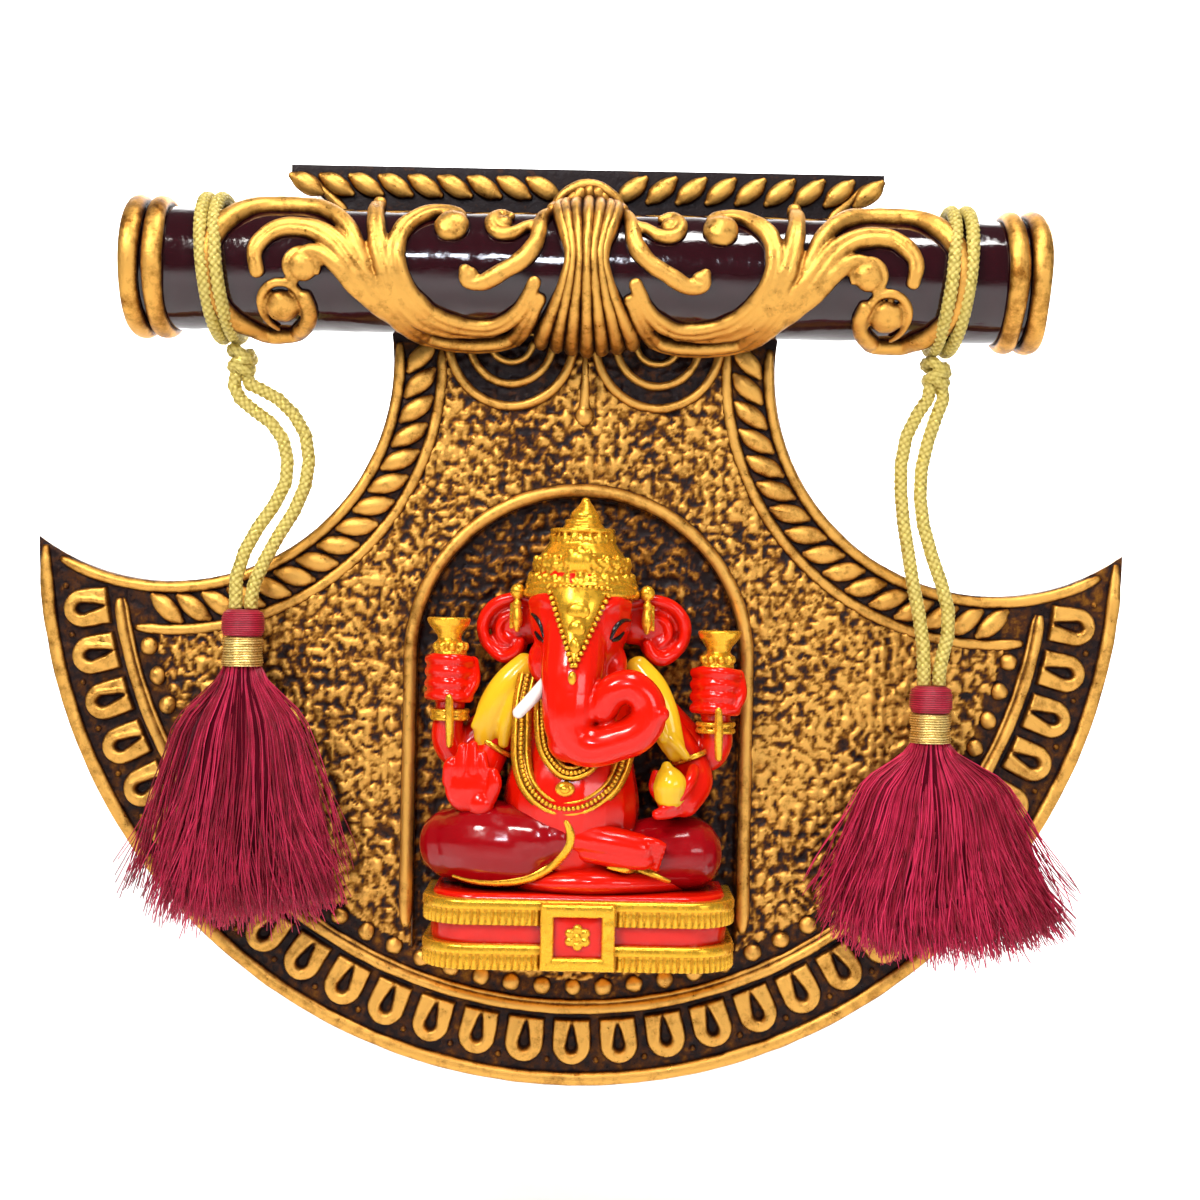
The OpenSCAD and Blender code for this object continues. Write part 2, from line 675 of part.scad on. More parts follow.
blade_plate();
blade_rim();
petal_band();
ridge_ring();
bead_row();
edge_beads(true);  // left_edge_beads
edge_beads(false);  // right_edge_beads
side_rope(true);  // left_rope
side_rope(false);  // right_rope
top_rope();
niche_arch();
swags();
drop_pendant();
rod();
end_rings(true);  // left_end_rings
end_rings(false);  // right_end_rings
scroll(true);  // left_scroll
scroll(false);  // right_scroll
leaf_clasp();
hanger_plate();
hanger_screws();
pedestal();
pedestal_upper_band();
pedestal_lower_band();
pedestal_plaque();
pedestal_rosette();
left_thigh();
right_thigh();
folded_foot();
torso();
head();
trunk();
left_ear();
right_ear();
tusk();
crown();
necklace();
shawl();
rear_left_arm();
rear_right_arm();
rear_left_emblem();
rear_right_emblem();
front_left_arm();
front_right_arm();
modak();
windings(true);  // left_windings
knot(true);  // left_knot
color(cord_yellow) tube(route(left_inner, true), cord_d / 2);  // left_strand_inner
color(cord_yellow) tube(route(left_outer, true), cord_d / 2);  // left_strand_outer
tassel_head(true);  // left_tassel_head
tassel_band(true);  // left_tassel_band
tassel_skirt(true);  // left_tassel_skirt
windings(false);  // right_windings
knot(false);  // right_knot
color(cord_yellow) tube(route(right_inner, false), cord_d / 2);  // right_strand_inner
color(cord_yellow) tube(route(right_outer, false), cord_d / 2);  // right_strand_outer
tassel_head(false);  // right_tassel_head
tassel_band(false);  // right_tassel_band
tassel_skirt(false);  // right_tassel_skirt
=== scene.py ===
# Wall hanging: an axe-shaped relief plaque with a seated figure, a scroll-dressed handle and two tassels.
# Sizes in the dictionaries are millimetres. A point is (x, y, h): x to the right, y into the wall,
# and h the height above the centre of the blade's arc.
import math

import bpy
import numpy as np
from mathutils import Matrix, Vector, noise
from mathutils.bvhtree import BVHTree


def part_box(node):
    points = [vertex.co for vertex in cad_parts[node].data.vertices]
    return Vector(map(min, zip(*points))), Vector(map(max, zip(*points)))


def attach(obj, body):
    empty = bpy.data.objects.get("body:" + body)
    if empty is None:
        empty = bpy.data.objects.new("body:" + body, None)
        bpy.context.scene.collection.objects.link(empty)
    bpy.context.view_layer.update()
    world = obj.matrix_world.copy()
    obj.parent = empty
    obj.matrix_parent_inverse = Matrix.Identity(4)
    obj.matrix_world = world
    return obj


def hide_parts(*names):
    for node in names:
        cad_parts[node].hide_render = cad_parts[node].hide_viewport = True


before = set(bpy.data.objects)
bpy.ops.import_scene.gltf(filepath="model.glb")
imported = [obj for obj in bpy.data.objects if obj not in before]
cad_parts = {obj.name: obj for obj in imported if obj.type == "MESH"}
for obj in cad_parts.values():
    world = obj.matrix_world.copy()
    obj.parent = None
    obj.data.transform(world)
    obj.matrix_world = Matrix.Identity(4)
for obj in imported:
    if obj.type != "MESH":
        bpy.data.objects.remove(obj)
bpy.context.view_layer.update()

mm = 0.001
bladeLow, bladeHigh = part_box("blade_plate")
bladeR = (bladeHigh.x - bladeLow.x) / 2 / mm
arcZ = bladeLow.z + bladeR * mm      # world height of h = 0
frontY = bladeLow.y / mm             # the blade's front face
rodLow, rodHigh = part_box("rod")
rodR = (rodHigh.z - rodLow.z) / 2 / mm
rodY = (rodHigh.y + rodLow.y) / 2 / mm
rodH = ((rodHigh.z + rodLow.z) / 2 - arcZ) / mm
rodHalf = rodHigh.x / mm


def boxOf(node):      # a CAD piece's corners in (x, y, h)
    low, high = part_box(node)
    return np.array([low.x, low.y, low.z - arcZ]) / mm, np.array([high.x, high.y, high.z - arcZ]) / mm


def toWorld(p):
    return Vector((p[0] * mm, p[1] * mm, p[2] * mm + arcZ))


view = dict(aim=(4.0, -8.0, -11.2), distance=360.0, seen=240.0, roll=1.1)
lens = bpy.data.cameras.new("camera")
lens.sensor_width = 36
lens.lens = 36 * view["distance"] / view["seen"]
lens.clip_start, lens.clip_end = 0.01, 20
camera = bpy.data.objects.new("camera", lens)
camera.location = toWorld((view["aim"][0], view["aim"][1] - view["distance"], view["aim"][2]))
camera.rotation_euler = (math.pi / 2, -math.radians(view["roll"]), 0)
bpy.context.scene.collection.objects.link(camera)
bpy.context.scene.camera = camera
bpy.context.scene.view_settings.view_transform = "Standard"


def smoothstep(a, b, t):
    t = np.clip((np.asarray(t, float) - a) / (b - a), 0, 1)
    return t * t * (3 - 2 * t)


def turns(count, closed=False):
    return np.linspace(0, 2 * math.pi, count, endpoint=closed)


def lengths(path):      # the distance along a path at each of its points
    steps = np.linalg.norm(np.diff(np.asarray(path, float)[:, :3], axis=0), axis=1)
    return np.concatenate([[0], np.cumsum(steps)])


def directions(path, guard=0.0):
    along = np.gradient(path, axis=0)
    return along / (np.linalg.norm(along, axis=1, keepdims=True) + guard)


def gridFaces(n, m):        # faces over n rows of m points
    return [(i * m + k, i * m + k + 1, (i + 1) * m + k + 1, (i + 1) * m + k)
            for i in range(n - 1) for k in range(m - 1)]


def ringFaces(n, m):        # faces over n rings of m points
    return [(i * m + k, i * m + (k + 1) % m, (i + 1) * m + (k + 1) % m, (i + 1) * m + k)
            for i in range(n - 1) for k in range(m)]


def endCaps(n, m):
    return [tuple(range(m - 1, -1, -1)), tuple((n - 1) * m + k for k in range(m))]


def faceOut(verts, faces):
    # turns a part's faces to look away from its inside, or from the blade for a part with no back
    quads = np.array([f if len(f) == 4 else (f[0], f[1], f[2], f[2]) for f in faces
                      if len(f) in (3, 4)])
    v = np.asarray(verts, float) - (0, frontY, 0)
    a, b, c, d = (v[quads[:, k]] for k in range(4))
    volume = (np.einsum("ij,ij->i", a, np.cross(b, c)) + np.einsum("ij,ij->i", a, np.cross(c, d))).sum()
    for f in faces:
        if len(f) > 4:
            p = v[list(f)]
            volume += np.einsum("ij,ij->i", np.broadcast_to(p[0], p[1:-1].shape),
                                np.cross(p[1:-1], p[2:])).sum()
    return faces if volume > 0 else [tuple(f)[::-1] for f in faces]


def join(parts):
    verts, faces, n = [], [], 0
    for v, f in parts:
        v = np.asarray(v, float)
        f = faceOut(v, f)
        verts.append(v)
        faces += [tuple(i + n for i in face) for face in f]
        n += len(v)
    return np.vstack(verts), faces


def curvePoints(points, count, closed=False):
    # an even run of points along a smooth line through the given ones
    p = np.asarray(points, float)
    n = len(p)
    out = []
    spans = n if closed else n - 1
    for i in range(spans):
        if closed:
            a, b, c, d = p[(i - 1) % n], p[i], p[(i + 1) % n], p[(i + 2) % n]
        else:
            a, b, c, d = p[max(i - 1, 0)], p[i], p[i + 1], p[min(i + 2, n - 1)]
        for t in np.linspace(0, 1, 12, endpoint=False):
            out.append(0.5 * (2 * b + (c - a) * t + (2 * a - 5 * b + 4 * c - d) * t * t
                              + (3 * b - a - 3 * c + d) * t ** 3))
    out.append(p[0] if closed else p[-1])
    out = np.array(out)
    run = lengths(out)
    want = np.linspace(0, run[-1], count)
    return np.column_stack([np.interp(want, run, out[:, k]) for k in range(out.shape[1])])


def sweep(path, wide, tall, up, sides=12, closed=False, roundEnds=True):
    # a bar of oval section along a path: wide across it, tall along up
    path = np.asarray(path, float)
    n = len(path)
    wide = np.broadcast_to(np.asarray(wide, float), (n,)) / 2
    tall = np.broadcast_to(np.asarray(tall, float), (n,)) / 2
    up = np.broadcast_to(np.asarray(up, float), (n, 3))
    if closed:
        along = np.roll(path, -1, 0) - np.roll(path, 1, 0)
    else:
        along = np.gradient(path, axis=0)
    along /= np.linalg.norm(along, axis=1, keepdims=True) + 1e-12
    side = np.cross(along, up)
    side /= np.linalg.norm(side, axis=1, keepdims=True) + 1e-12
    rise = np.cross(side, along)
    if roundEnds and not closed:
        rows, scale = [], []
        for k, s in ((1.0, 0.02), (0.92, 0.4), (0.7, 0.72), (0.38, 0.93)):
            rows.append(path[0] - along[0] * min(wide[0], tall[0]) * k)
            scale.append(s)
        path = np.vstack([rows, path, [path[-1] + along[-1] * min(wide[-1], tall[-1]) * k
                                       for k in (0.38, 0.7, 0.92, 1.0)]])
        grow = np.concatenate([scale, np.ones(n), scale[::-1]])
        pick = np.concatenate([np.zeros(4, int), np.arange(n), np.full(4, n - 1)])
        wide, tall, side, rise = wide[pick] * grow, tall[pick] * grow, side[pick], rise[pick]
        n = len(path)
    a = turns(sides)
    rings = (path[:, None] + side[:, None] * (wide[:, None] * np.cos(a))[:, :, None]
             + rise[:, None] * (tall[:, None] * np.sin(a))[:, :, None])
    faces = []
    for i in range(n if closed else n - 1):
        j = (i + 1) % n
        for k in range(sides):
            m = (k + 1) % sides
            faces.append((i * sides + k, i * sides + m, j * sides + m, j * sides + k))
    if not closed:
        faces += endCaps(n, sides)
    return rings.reshape(-1, 3), faces


def blob(centre, radii, turn=None, segments=20, rings=12):
    # a ball squashed to three radii, turned by a matrix
    verts, faces = [(0, 0, 1)], []
    for i in range(1, rings):
        t = math.pi * i / rings
        for k in range(segments):
            a = 2 * math.pi * k / segments
            verts.append((math.sin(t) * math.cos(a), math.sin(t) * math.sin(a), math.cos(t)))
    verts.append((0, 0, -1))
    for k in range(segments):
        m = (k + 1) % segments
        faces.append((0, 1 + k, 1 + m))
        for i in range(rings - 2):
            faces.append((1 + i * segments + k, 1 + (i + 1) * segments + k,
                          1 + (i + 1) * segments + m, 1 + i * segments + m))
        base = 1 + (rings - 2) * segments
        faces.append((base + m, base + k, len(verts) - 1))
    v = np.array(verts) * np.asarray(radii, float)
    if turn is not None:
        v = v @ np.array(turn.to_3x3()).T
    return v + np.asarray(centre, float), faces


def lathe(profile, centre, axis="Z", segments=64):
    # profile points are (radius, along), turned round the axis
    prof = np.asarray(profile, float)
    a = turns(segments)
    r, z = prof[:, 0][:, None], np.repeat(prof[:, 1][:, None], segments, 1)
    if axis == "Z":
        v = np.stack([r * np.cos(a), r * np.sin(a), z], -1)
    elif axis == "X":
        v = np.stack([z, r * np.cos(a), r * np.sin(a)], -1)
    else:
        v = np.stack([r * np.cos(a), -z, r * np.sin(a)], -1)
    n = len(prof)
    faces = ringFaces(n, segments) + endCaps(n, segments)
    return v.reshape(-1, 3) + np.asarray(centre, float), faces


def setLevel(obj, name, values):
    layer = obj.data.attributes.get(name) or obj.data.attributes.new(name, "FLOAT", "POINT")
    layer.data.foreach_set("value", np.asarray(values, np.float32))


def coordsOf(obj):
    co = np.zeros(len(obj.data.vertices) * 3)
    obj.data.vertices.foreach_get("co", co)
    co = co.reshape(-1, 3) / mm
    co[:, 2] -= arcZ / mm
    return co


def normalsOf(obj):
    out = np.zeros(len(obj.data.vertices) * 3)
    obj.data.vertices.foreach_get("normal", out)
    return out.reshape(-1, 3)


def make(name, shape, material, body="plaque", stands=(), slot="antique_gold", melt=0.0, soften=0):
    # shape is (points, faces) in (x, y, h); melt is the cell size that joins overlapping forms
    verts, faces = join([shape]) if len(shape[1]) < 60000 else shape
    world = np.asarray(verts, float) * mm
    world[:, 2] += arcZ
    mesh = bpy.data.meshes.new(name)
    mesh.from_pydata(world.tolist(), [], faces)
    mesh.update()
    obj = bpy.data.objects.new(name, mesh)
    bpy.context.scene.collection.objects.link(obj)
    if melt:
        obj.data.remesh_voxel_size = melt * mm
        bpy.context.view_layer.objects.active = obj
        for o in bpy.context.selected_objects:
            o.select_set(False)
        obj.select_set(True)
        remesh = obj.modifiers.new("melt", "REMESH")
        remesh.mode = "VOXEL"
        remesh.voxel_size = melt * mm
        if soften:
            smooth = obj.modifiers.new("soften", "SMOOTH")
            smooth.iterations = soften
            smooth.factor = 0.5
        settle(obj)
    obj.data.shade_smooth()
    obj.data.materials.append(material)
    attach(obj, body)
    if stands:
        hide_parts(*stands)
    return obj


def settle(obj):
    # turns the modifiers' result into the piece's own mesh
    graph = bpy.context.evaluated_depsgraph_get()
    done = bpy.data.meshes.new_from_object(obj.evaluated_get(graph))
    obj.modifiers.clear()
    old = obj.data
    obj.data = done
    bpy.data.meshes.remove(old)


def rub(obj, base=None, rise=1.6, facing=0.35, keep=0.0):
    # how much gold a rubbing cloth leaves: more on what stands up and faces out
    co, nor = coordsOf(obj), normalsOf(obj)
    high = np.ones(len(co)) if base is None else smoothstep(0.05, 1.0, (base - co[:, 1]) / rise)
    face = smoothstep(-0.25, facing + 0.2, -nor[:, 1])
    setLevel(obj, "gilt", np.maximum(keep, high * (0.3 + 0.7 * face)))
    return obj


def newMaterial(name):
    mat = bpy.data.materials.new(name)
    mat.use_nodes = True
    tree = mat.node_tree
    shader = tree.nodes["Principled BSDF"]
    return mat, tree, shader


def addNode(tree, kind, **values):
    node = tree.nodes.new(kind)
    for key, value in values.items():
        if key.startswith("set"):
            setattr(node, key[3:], value)
        else:
            node.inputs[key.replace("_", " ")].default_value = value
    return node


def coords(tree):
    return addNode(tree, "ShaderNodeTexCoord").outputs["Object"]


def grain(tree, scale, detail=3.0, rough=0.55, stretch=None):
    tex = addNode(tree, "ShaderNodeTexNoise", Scale=scale, Detail=detail, Roughness=rough)
    place = coords(tree)
    if stretch:
        mapping = addNode(tree, "ShaderNodeMapping")
        mapping.inputs["Scale"].default_value = stretch
        tree.links.new(place, mapping.inputs["Vector"])
        place = mapping.outputs["Vector"]
    tree.links.new(place, tex.inputs["Vector"])
    return tex.outputs["Fac"]


def calc(tree, operation, a, b=None, clamp=False):
    node = tree.nodes.new("ShaderNodeMath")
    node.operation = operation
    node.use_clamp = clamp
    for i, value in enumerate((a, b)):
        if value is None:
            continue
        if isinstance(value, (int, float)):
            node.inputs[i].default_value = value
        else:
            tree.links.new(value, node.inputs[i])
    return node.outputs[0]


def ramp(tree, source, stops):
    node = tree.nodes.new("ShaderNodeValToRGB")
    while len(node.color_ramp.elements) < len(stops):
        node.color_ramp.elements.new(0.5)
    for element, (at, colour) in zip(node.color_ramp.elements, stops):
        element.position = at
        element.color = (*colour, 1) if hasattr(colour, "__len__") else (colour, colour, colour, 1)
    tree.links.new(source, node.inputs["Fac"])
    return node.outputs["Color"]


def drive(tree, shader, socket, source, stops):
    tree.links.new(ramp(tree, source, stops), shader.inputs[socket])


def blend(tree, a, shareA, b, shareB):
    return calc(tree, "ADD", calc(tree, "MULTIPLY", a, shareA), calc(tree, "MULTIPLY", b, shareB),
                clamp=True)


# ambient occlusion; the finishes below use it to darken their colour in hollows, which is painted shade
# (in the antique gold it also stands for the real dark base paint)
def shelter(tree, reach, samples):      # open surfaces give 1, hollows less
    node = addNode(tree, "ShaderNodeAmbientOcclusion", Distance=reach * mm)
    node.samples = samples
    return node.outputs["AO"]


def bump(tree, shader, height, strength, depth):
    node = addNode(tree, "ShaderNodeBump", Strength=strength, Distance=depth * mm)
    tree.links.new(height, node.inputs["Height"])
    tree.links.new(node.outputs["Normal"], shader.inputs["Normal"])


def level(tree, name):
    node = addNode(tree, "ShaderNodeAttribute")
    node.attribute_name = name
    return node.outputs["Fac"]


antique = dict(deep=(0.009, 0.002, 0.002), shade=(0.07, 0.02, 0.003), gold=(0.31, 0.12, 0.016),
               bright=(0.8, 0.42, 0.09), patch=420.0, streak=2200.0)


def antiqueGold(name="antiqueGold", tone=0.0):
    mat, tree, shader = newMaterial(name)
    patches = grain(tree, antique["patch"], 4, 0.6)
    broad = grain(tree, 45.0, 2, 0.5)
    streaks = grain(tree, antique["streak"], 3, 0.6)
    # the gold thins where the occlusion finds a hollow: partly the dark base paint the real piece keeps
    # in its hollows, partly painted shade in creases and between parts
    exposed = shelter(tree, 2.2, 6)
    exposed = calc(tree, "POWER", exposed, 1.5)
    amount = calc(tree, "MULTIPLY", level(tree, "gilt"),
                  calc(tree, "ADD", calc(tree, "MULTIPLY", exposed, 0.85), 0.15))
    for cloud, share in ((patches, 1.0), (broad, 0.5), (streaks, 0.3)):
        uneven = calc(tree, "MULTIPLY", calc(tree, "SUBTRACT", cloud, 0.5), share)
        amount = calc(tree, "ADD", amount, uneven)
    amount = calc(tree, "ADD", amount, tone, clamp=True)
    drive(tree, shader, "Base Color", amount, [(0.14, antique["deep"]), (0.36, antique["shade"]),
                                               (0.66, antique["gold"]), (1.0, antique["bright"])])
    drive(tree, shader, "Metallic", amount, [(0.2, 0.1), (0.55, 0.88)])
    drive(tree, shader, "Roughness", calc(tree, "ADD", streaks, patches), [(0.7, 0.26), (1.3, 0.48)])
    shader.inputs["Specular IOR Level"].default_value = 0.22
    bump(tree, shader, calc(tree, "ADD", streaks, calc(tree, "MULTIPLY", patches, 1.6)), 0.55, 0.14)
    return mat


def enamel(name, colour, dark, rough=0.16, coat=0.22, wave=0.12, metal=0.0):
    # poured glossy paint; its colour darkens in the folds and hollows, which is painted shade from the
    # occlusion, with a little random unevenness
    mat, tree, shader = newMaterial(name)
    cloud = grain(tree, 160.0, 3, 0.55)
    # the occlusion paints shade into the colour: low values give the dark colour
    exposed = shelter(tree, 2.5, 5)
    mix = blend(tree, exposed, 0.75, cloud, 0.4)
    drive(tree, shader, "Base Color", mix, [(0.2, dark), (0.85, colour)])
    drive(tree, shader, "Roughness", grain(tree, 420.0, 3), [(0.3, rough * 0.7), (0.75, rough * 1.7)])
    shader.inputs["Coat Weight"].default_value = coat
    shader.inputs["Specular IOR Level"].default_value = 0.3
    shader.inputs["Coat Roughness"].default_value = 0.06
    shader.inputs["Metallic"].default_value = metal
    bump(tree, shader, calc(tree, "ADD", grain(tree, 330.0, 2),
                            calc(tree, "MULTIPLY", grain(tree, 1500.0, 2), 0.12)),
         0.5, wave)
    return mat


gilded = antiqueGold()
fieldGold = antiqueGold("hammeredGold", tone=0.02)
# the second colour of each enamel is its painted shade colour for folds and hollows
lacquer = enamel("maroonLacquer", (0.022, 0.0015, 0.004), (0.004, 0.0005, 0.001), rough=0.1, coat=0.8,
                 wave=0.3)
vermilion = enamel("vermilionEnamel", (0.76, 0.008, 0.001), (0.16, 0.001, 0.0005))
crimson = enamel("crimsonEnamel", (0.3, 0.001, 0.004), (0.05, 0.0005, 0.001))
yellowEnamel = enamel("yellowEnamel", (0.86, 0.5, 0.015), (0.6, 0.2, 0.01))
whiteEnamel = enamel("whiteEnamel", (0.85, 0.83, 0.78), (0.5, 0.4, 0.35))
blackEnamel = enamel("blackEnamel", (0.012, 0.008, 0.008), (0.004, 0.003, 0.003))
print("camera and finishes ready")

cordSpec = dict(diameter=2.8, strands=5, plait=1.35, rise=0.42, turns=2, step=0.2, aslant=1.3,
                hitches=[(0.45, 2.2, 1.3), (-0.7, 2.1, 0.0),
                         (0.1, 1.7, -1.3)])      # tilt, size, offset
tasselSpec = dict(
    left=dict(knot=(-67.0, 34.2), head=(-65.4, -14.2), skirt=50.0, half=22.5, lean=-1.5, seed=11,
              bell=(0.3, 0.3),
              inner=[(-67.3, 34.0), (-68.2, 31.4), (-68.5, 29.4), (-67.2, 26.8), (-64.4, 24.6),
                     (-61, 22.2), (-58.6, 19),
                     (-57.6, 15), (-57.8, 10.6), (-60, 6), (-63, 1.6), (-65.4, -3), (-66.9, -8),
                     (-66.9, -12.4),
                     (-66.9, -14.2)],
              outer=[(-66.7, 34.0), (-65.8, 31.4), (-65.5, 29.8), (-63.4, 28.9), (-59.8, 27),
                     (-56.6, 24), (-54.2, 20),
                     (-53.4, 15), (-54, 10), (-56, 5), (-59, 0), (-61.6, -5), (-63.4, -9.4),
                     (-63.9, -12.4),
                     (-63.9, -14.2)]),
    right=dict(knot=(69.0, 34.2), head=(68.8, -26.6), skirt=42.0, half=24.5, lean=2.5, seed=12,
               bell=(0.3, 0.3),
               inner=[(68.7, 34.0), (67.8, 31.4), (67.5, 29.4), (65.6, 26.6), (63.4, 22), (62.4, 16.6),
                      (62.4, 11), (63, 5),
                      (64, -1), (65, -7), (66.2, -13), (67.1, -19), (67.3, -23.8), (67.3, -26.6)],
               outer=[(69.3, 34.0), (70.2, 31.4), (70.5, 29.4), (69.2, 26), (67.6, 21), (66.4, 15.6),
                      (66.2, 10), (66.9, 4.6),
                      (68.6, -1.4), (70.6, -7), (71.9, -12), (71.8, -17), (70.7, -21.6), (70.3, -24.4),
                      (70.3, -26.6)]))
skirtLow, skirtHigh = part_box("left_tassel_skirt")
tasselY = (skirtLow.y + skirtHigh.y) / 2 / mm


def cordMaterial():
    mat, tree, shader = newMaterial("braidedCord")
    fibre = grain(tree, 2200.0, 3, 0.6)
    fleck = grain(tree, 900.0, 2, 0.5)
    # the cord is darker where its surface dips between strands and lighter on their crowns: painted
    # shade, mixed with fibre noise
    drive(tree, shader, "Base Color", blend(tree, level(tree, "crest"), 0.6, fibre, 0.45),
          [(0.1, (0.09, 0.05, 0.006)), (0.45, (0.46, 0.33, 0.05)), (0.95, (0.82, 0.68, 0.2))])
    drive(tree, shader, "Metallic", fleck, [(0.5, 0.0), (0.62, 0.55)])
    drive(tree, shader, "Roughness", fleck, [(0.45, 0.62), (0.65, 0.3)])
    shader.inputs["Sheen Weight"].default_value = 0.05
    bump(tree, shader, fibre, 0.7, 0.12)
    return mat


def braid(path, diameter, up, closed=False, sides=30):
    # plaited cord: strands cross over and under as they run round it both ways
    path = np.asarray(path, float)
    run = lengths(path)
    count = int(run[-1] / cordSpec["step"])
    want = np.linspace(0, run[-1], count, endpoint=not closed)
    pts = np.column_stack([np.interp(want, run, path[:, k]) for k in range(3)])
    ups = np.column_stack([np.interp(want, run, np.broadcast_to(up, path.shape)[:, k])
                           for k in range(3)])
    r = diameter / 2
    verts, faces = sweep(pts, diameter - 2 * cordSpec["rise"], diameter - 2 * cordSpec["rise"], ups,
                         sides, closed,
                         roundEnds=False)
    s = np.repeat(want, sides)
    a = np.tile(np.linspace(0, 1, sides, endpoint=False), count)
    n = cordSpec["strands"]
    turnsRound = round(run[-1] / cordSpec["plait"]) / run[-1] if closed else 1 / cordSpec["plait"]
    one, two = n * a + s * turnsRound, n * a - s * turnsRound
    over = (np.floor(one) + np.floor(two)) % 2 == 0
    crownOne, crownTwo = 1 - (2 * (one % 1) - 1) ** 2, 1 - (2 * (two % 1) - 1) ** 2
    crest = np.where(over, np.sqrt(crownOne) * (0.45 + 0.55 * crownTwo),
                     np.sqrt(crownTwo) * (0.45 + 0.55 * crownOne))
    centre = np.repeat(pts, sides, axis=0)
    out = verts - centre
    verts = centre + out * (1 + (crest * cordSpec["rise"] / (r - cordSpec["rise"])))[:, None]
    return verts, faces, crest


def swingY(h, side):
    t = (side["knot"][1] - h) / (side["knot"][1] - side["head"][1])
    return rodY + (tasselY - rodY) * min(1, max(0, (t - 0.15) / 0.7))


cordYellow = cordMaterial()


def cordPiece(name, shape, crest, body, node):
    piece = make(name, shape, cordYellow, body, [node], "braided_cord")
    setLevel(piece, "crest", crest)
    return piece


strandPieces = []
for sideName, side in tasselSpec.items():
    for strand in ("inner", "outer"):
        route = np.array([(x, swingY(h, side), h) for x, h in side[strand]])
        tube, tubeFaces, crest = braid(route, cordSpec["diameter"], (0, -1, 0))
        piece = cordPiece(f"{sideName}_cord_{strand}", (tube, tubeFaces), crest, f"{sideName}_tassel",
                          f"{sideName}_strand_{strand}")
        run = float(np.linalg.norm(np.diff(route, axis=0), axis=1).sum()) * mm
        strandPieces.append((piece, sideName, route, run))
    # two turns round the handle, drawn a little aslant
    windLow, windHigh = boxOf(f"{sideName}_windings")
    middle = (windLow[0] + windHigh[0]) / 2
    lean = -1 if sideName == "left" else 1
    turn = turns(240, True)
    for i in range(cordSpec["turns"]):
        at = middle + (i - 0.5) * (cordSpec["diameter"] + 0.1)
        r = rodR + 0.1 + cordSpec["diameter"] / 2
        ring = np.column_stack([at + lean * cordSpec["aslant"] * np.sin(turn + 0.3 * i),
                                rodY - r * np.cos(turn), rodH + r * np.sin(turn)])
        upRing = np.column_stack([0 * turn, -np.cos(turn), np.sin(turn)])
        tube, tubeFaces, crest = braid(ring, cordSpec["diameter"] - 0.05, upRing, closed=True)
        cordPiece(f"{sideName}_winding_{i + 1}", (tube, tubeFaces), crest, f"{sideName}_loop",
                  f"{sideName}_windings")
    # the knot: three hitched loops of the same cord
    knotParts, knotCrest = [], []
    kx, kh = side["knot"]
    for tilt, size, off in cordSpec["hitches"]:
        spin = Matrix.Rotation(tilt, 3, "Y") @ Matrix.Rotation(0.35 * tilt, 3, "Z")
        loop = []
        for t in turns(60, True):
            v = spin @ Vector((size * math.cos(t), size * math.sin(t), 0.35 * math.sin(2 * t)))
            loop.append((kx + v.x, rodY + v.y, kh + off + v.z))
        tube, tubeFaces, crest = braid(loop, 2.5, (0.1, 0.2, 1), closed=True, sides=20)
        knotParts.append((tube, tubeFaces))
        knotCrest.append(crest)
    cordPiece(f"{sideName}_hitch", join(knotParts), np.concatenate(knotCrest), f"{sideName}_loop",
              f"{sideName}_knot")
print("cords plaited")


threadSpec = dict(count=2350, thickness=0.3, steps=14, wave=1.2, stray=0.1, locks=46, spread=0.28,
                  neck=3.5, deep=4.6, strayWide=1.08, strayLong=0.9, flick=1.6)
coreSpec = dict(neck=3.2, long=0.8, closes=0.82, wide=0.62, deep=3.9, rows=22, segments=90, tone=0.12)


def threadMaterial(name, dark, mid, light):
    mat, tree, shader = newMaterial(name)
    tone = blend(tree, level(tree, "tone"), 0.75, grain(tree, 260.0, 2), 0.35)
    drive(tree, shader, "Base Color", tone, [(0.15, dark), (0.5, mid), (0.95, light)])
    drive(tree, shader, "Roughness", grain(tree, 1800.0, 2), [(0.3, 0.3), (0.7, 0.48)])
    shader.inputs["Sheen Weight"].default_value = 0.03
    shader.inputs["Specular IOR Level"].default_value = 0.35
    bump(tree, shader, grain(tree, 3000.0, 2), 0.4, 0.05)
    return mat


def metalThread():
    mat, tree, shader = newMaterial("metallicThread")
    tone = blend(tree, level(tree, "tone"), 0.7, grain(tree, 1500.0, 2), 0.4)
    drive(tree, shader, "Base Color", tone,
          [(0.15, (0.16, 0.07, 0.01)), (0.55, (0.62, 0.38, 0.08)), (0.95, (0.95, 0.75, 0.3))])
    shader.inputs["Metallic"].default_value = 0.75
    drive(tree, shader, "Roughness", grain(tree, 2500.0, 2), [(0.3, 0.22), (0.7, 0.42)])
    bump(tree, shader, grain(tree, 2600.0, 2), 0.5, 0.08)
    return mat


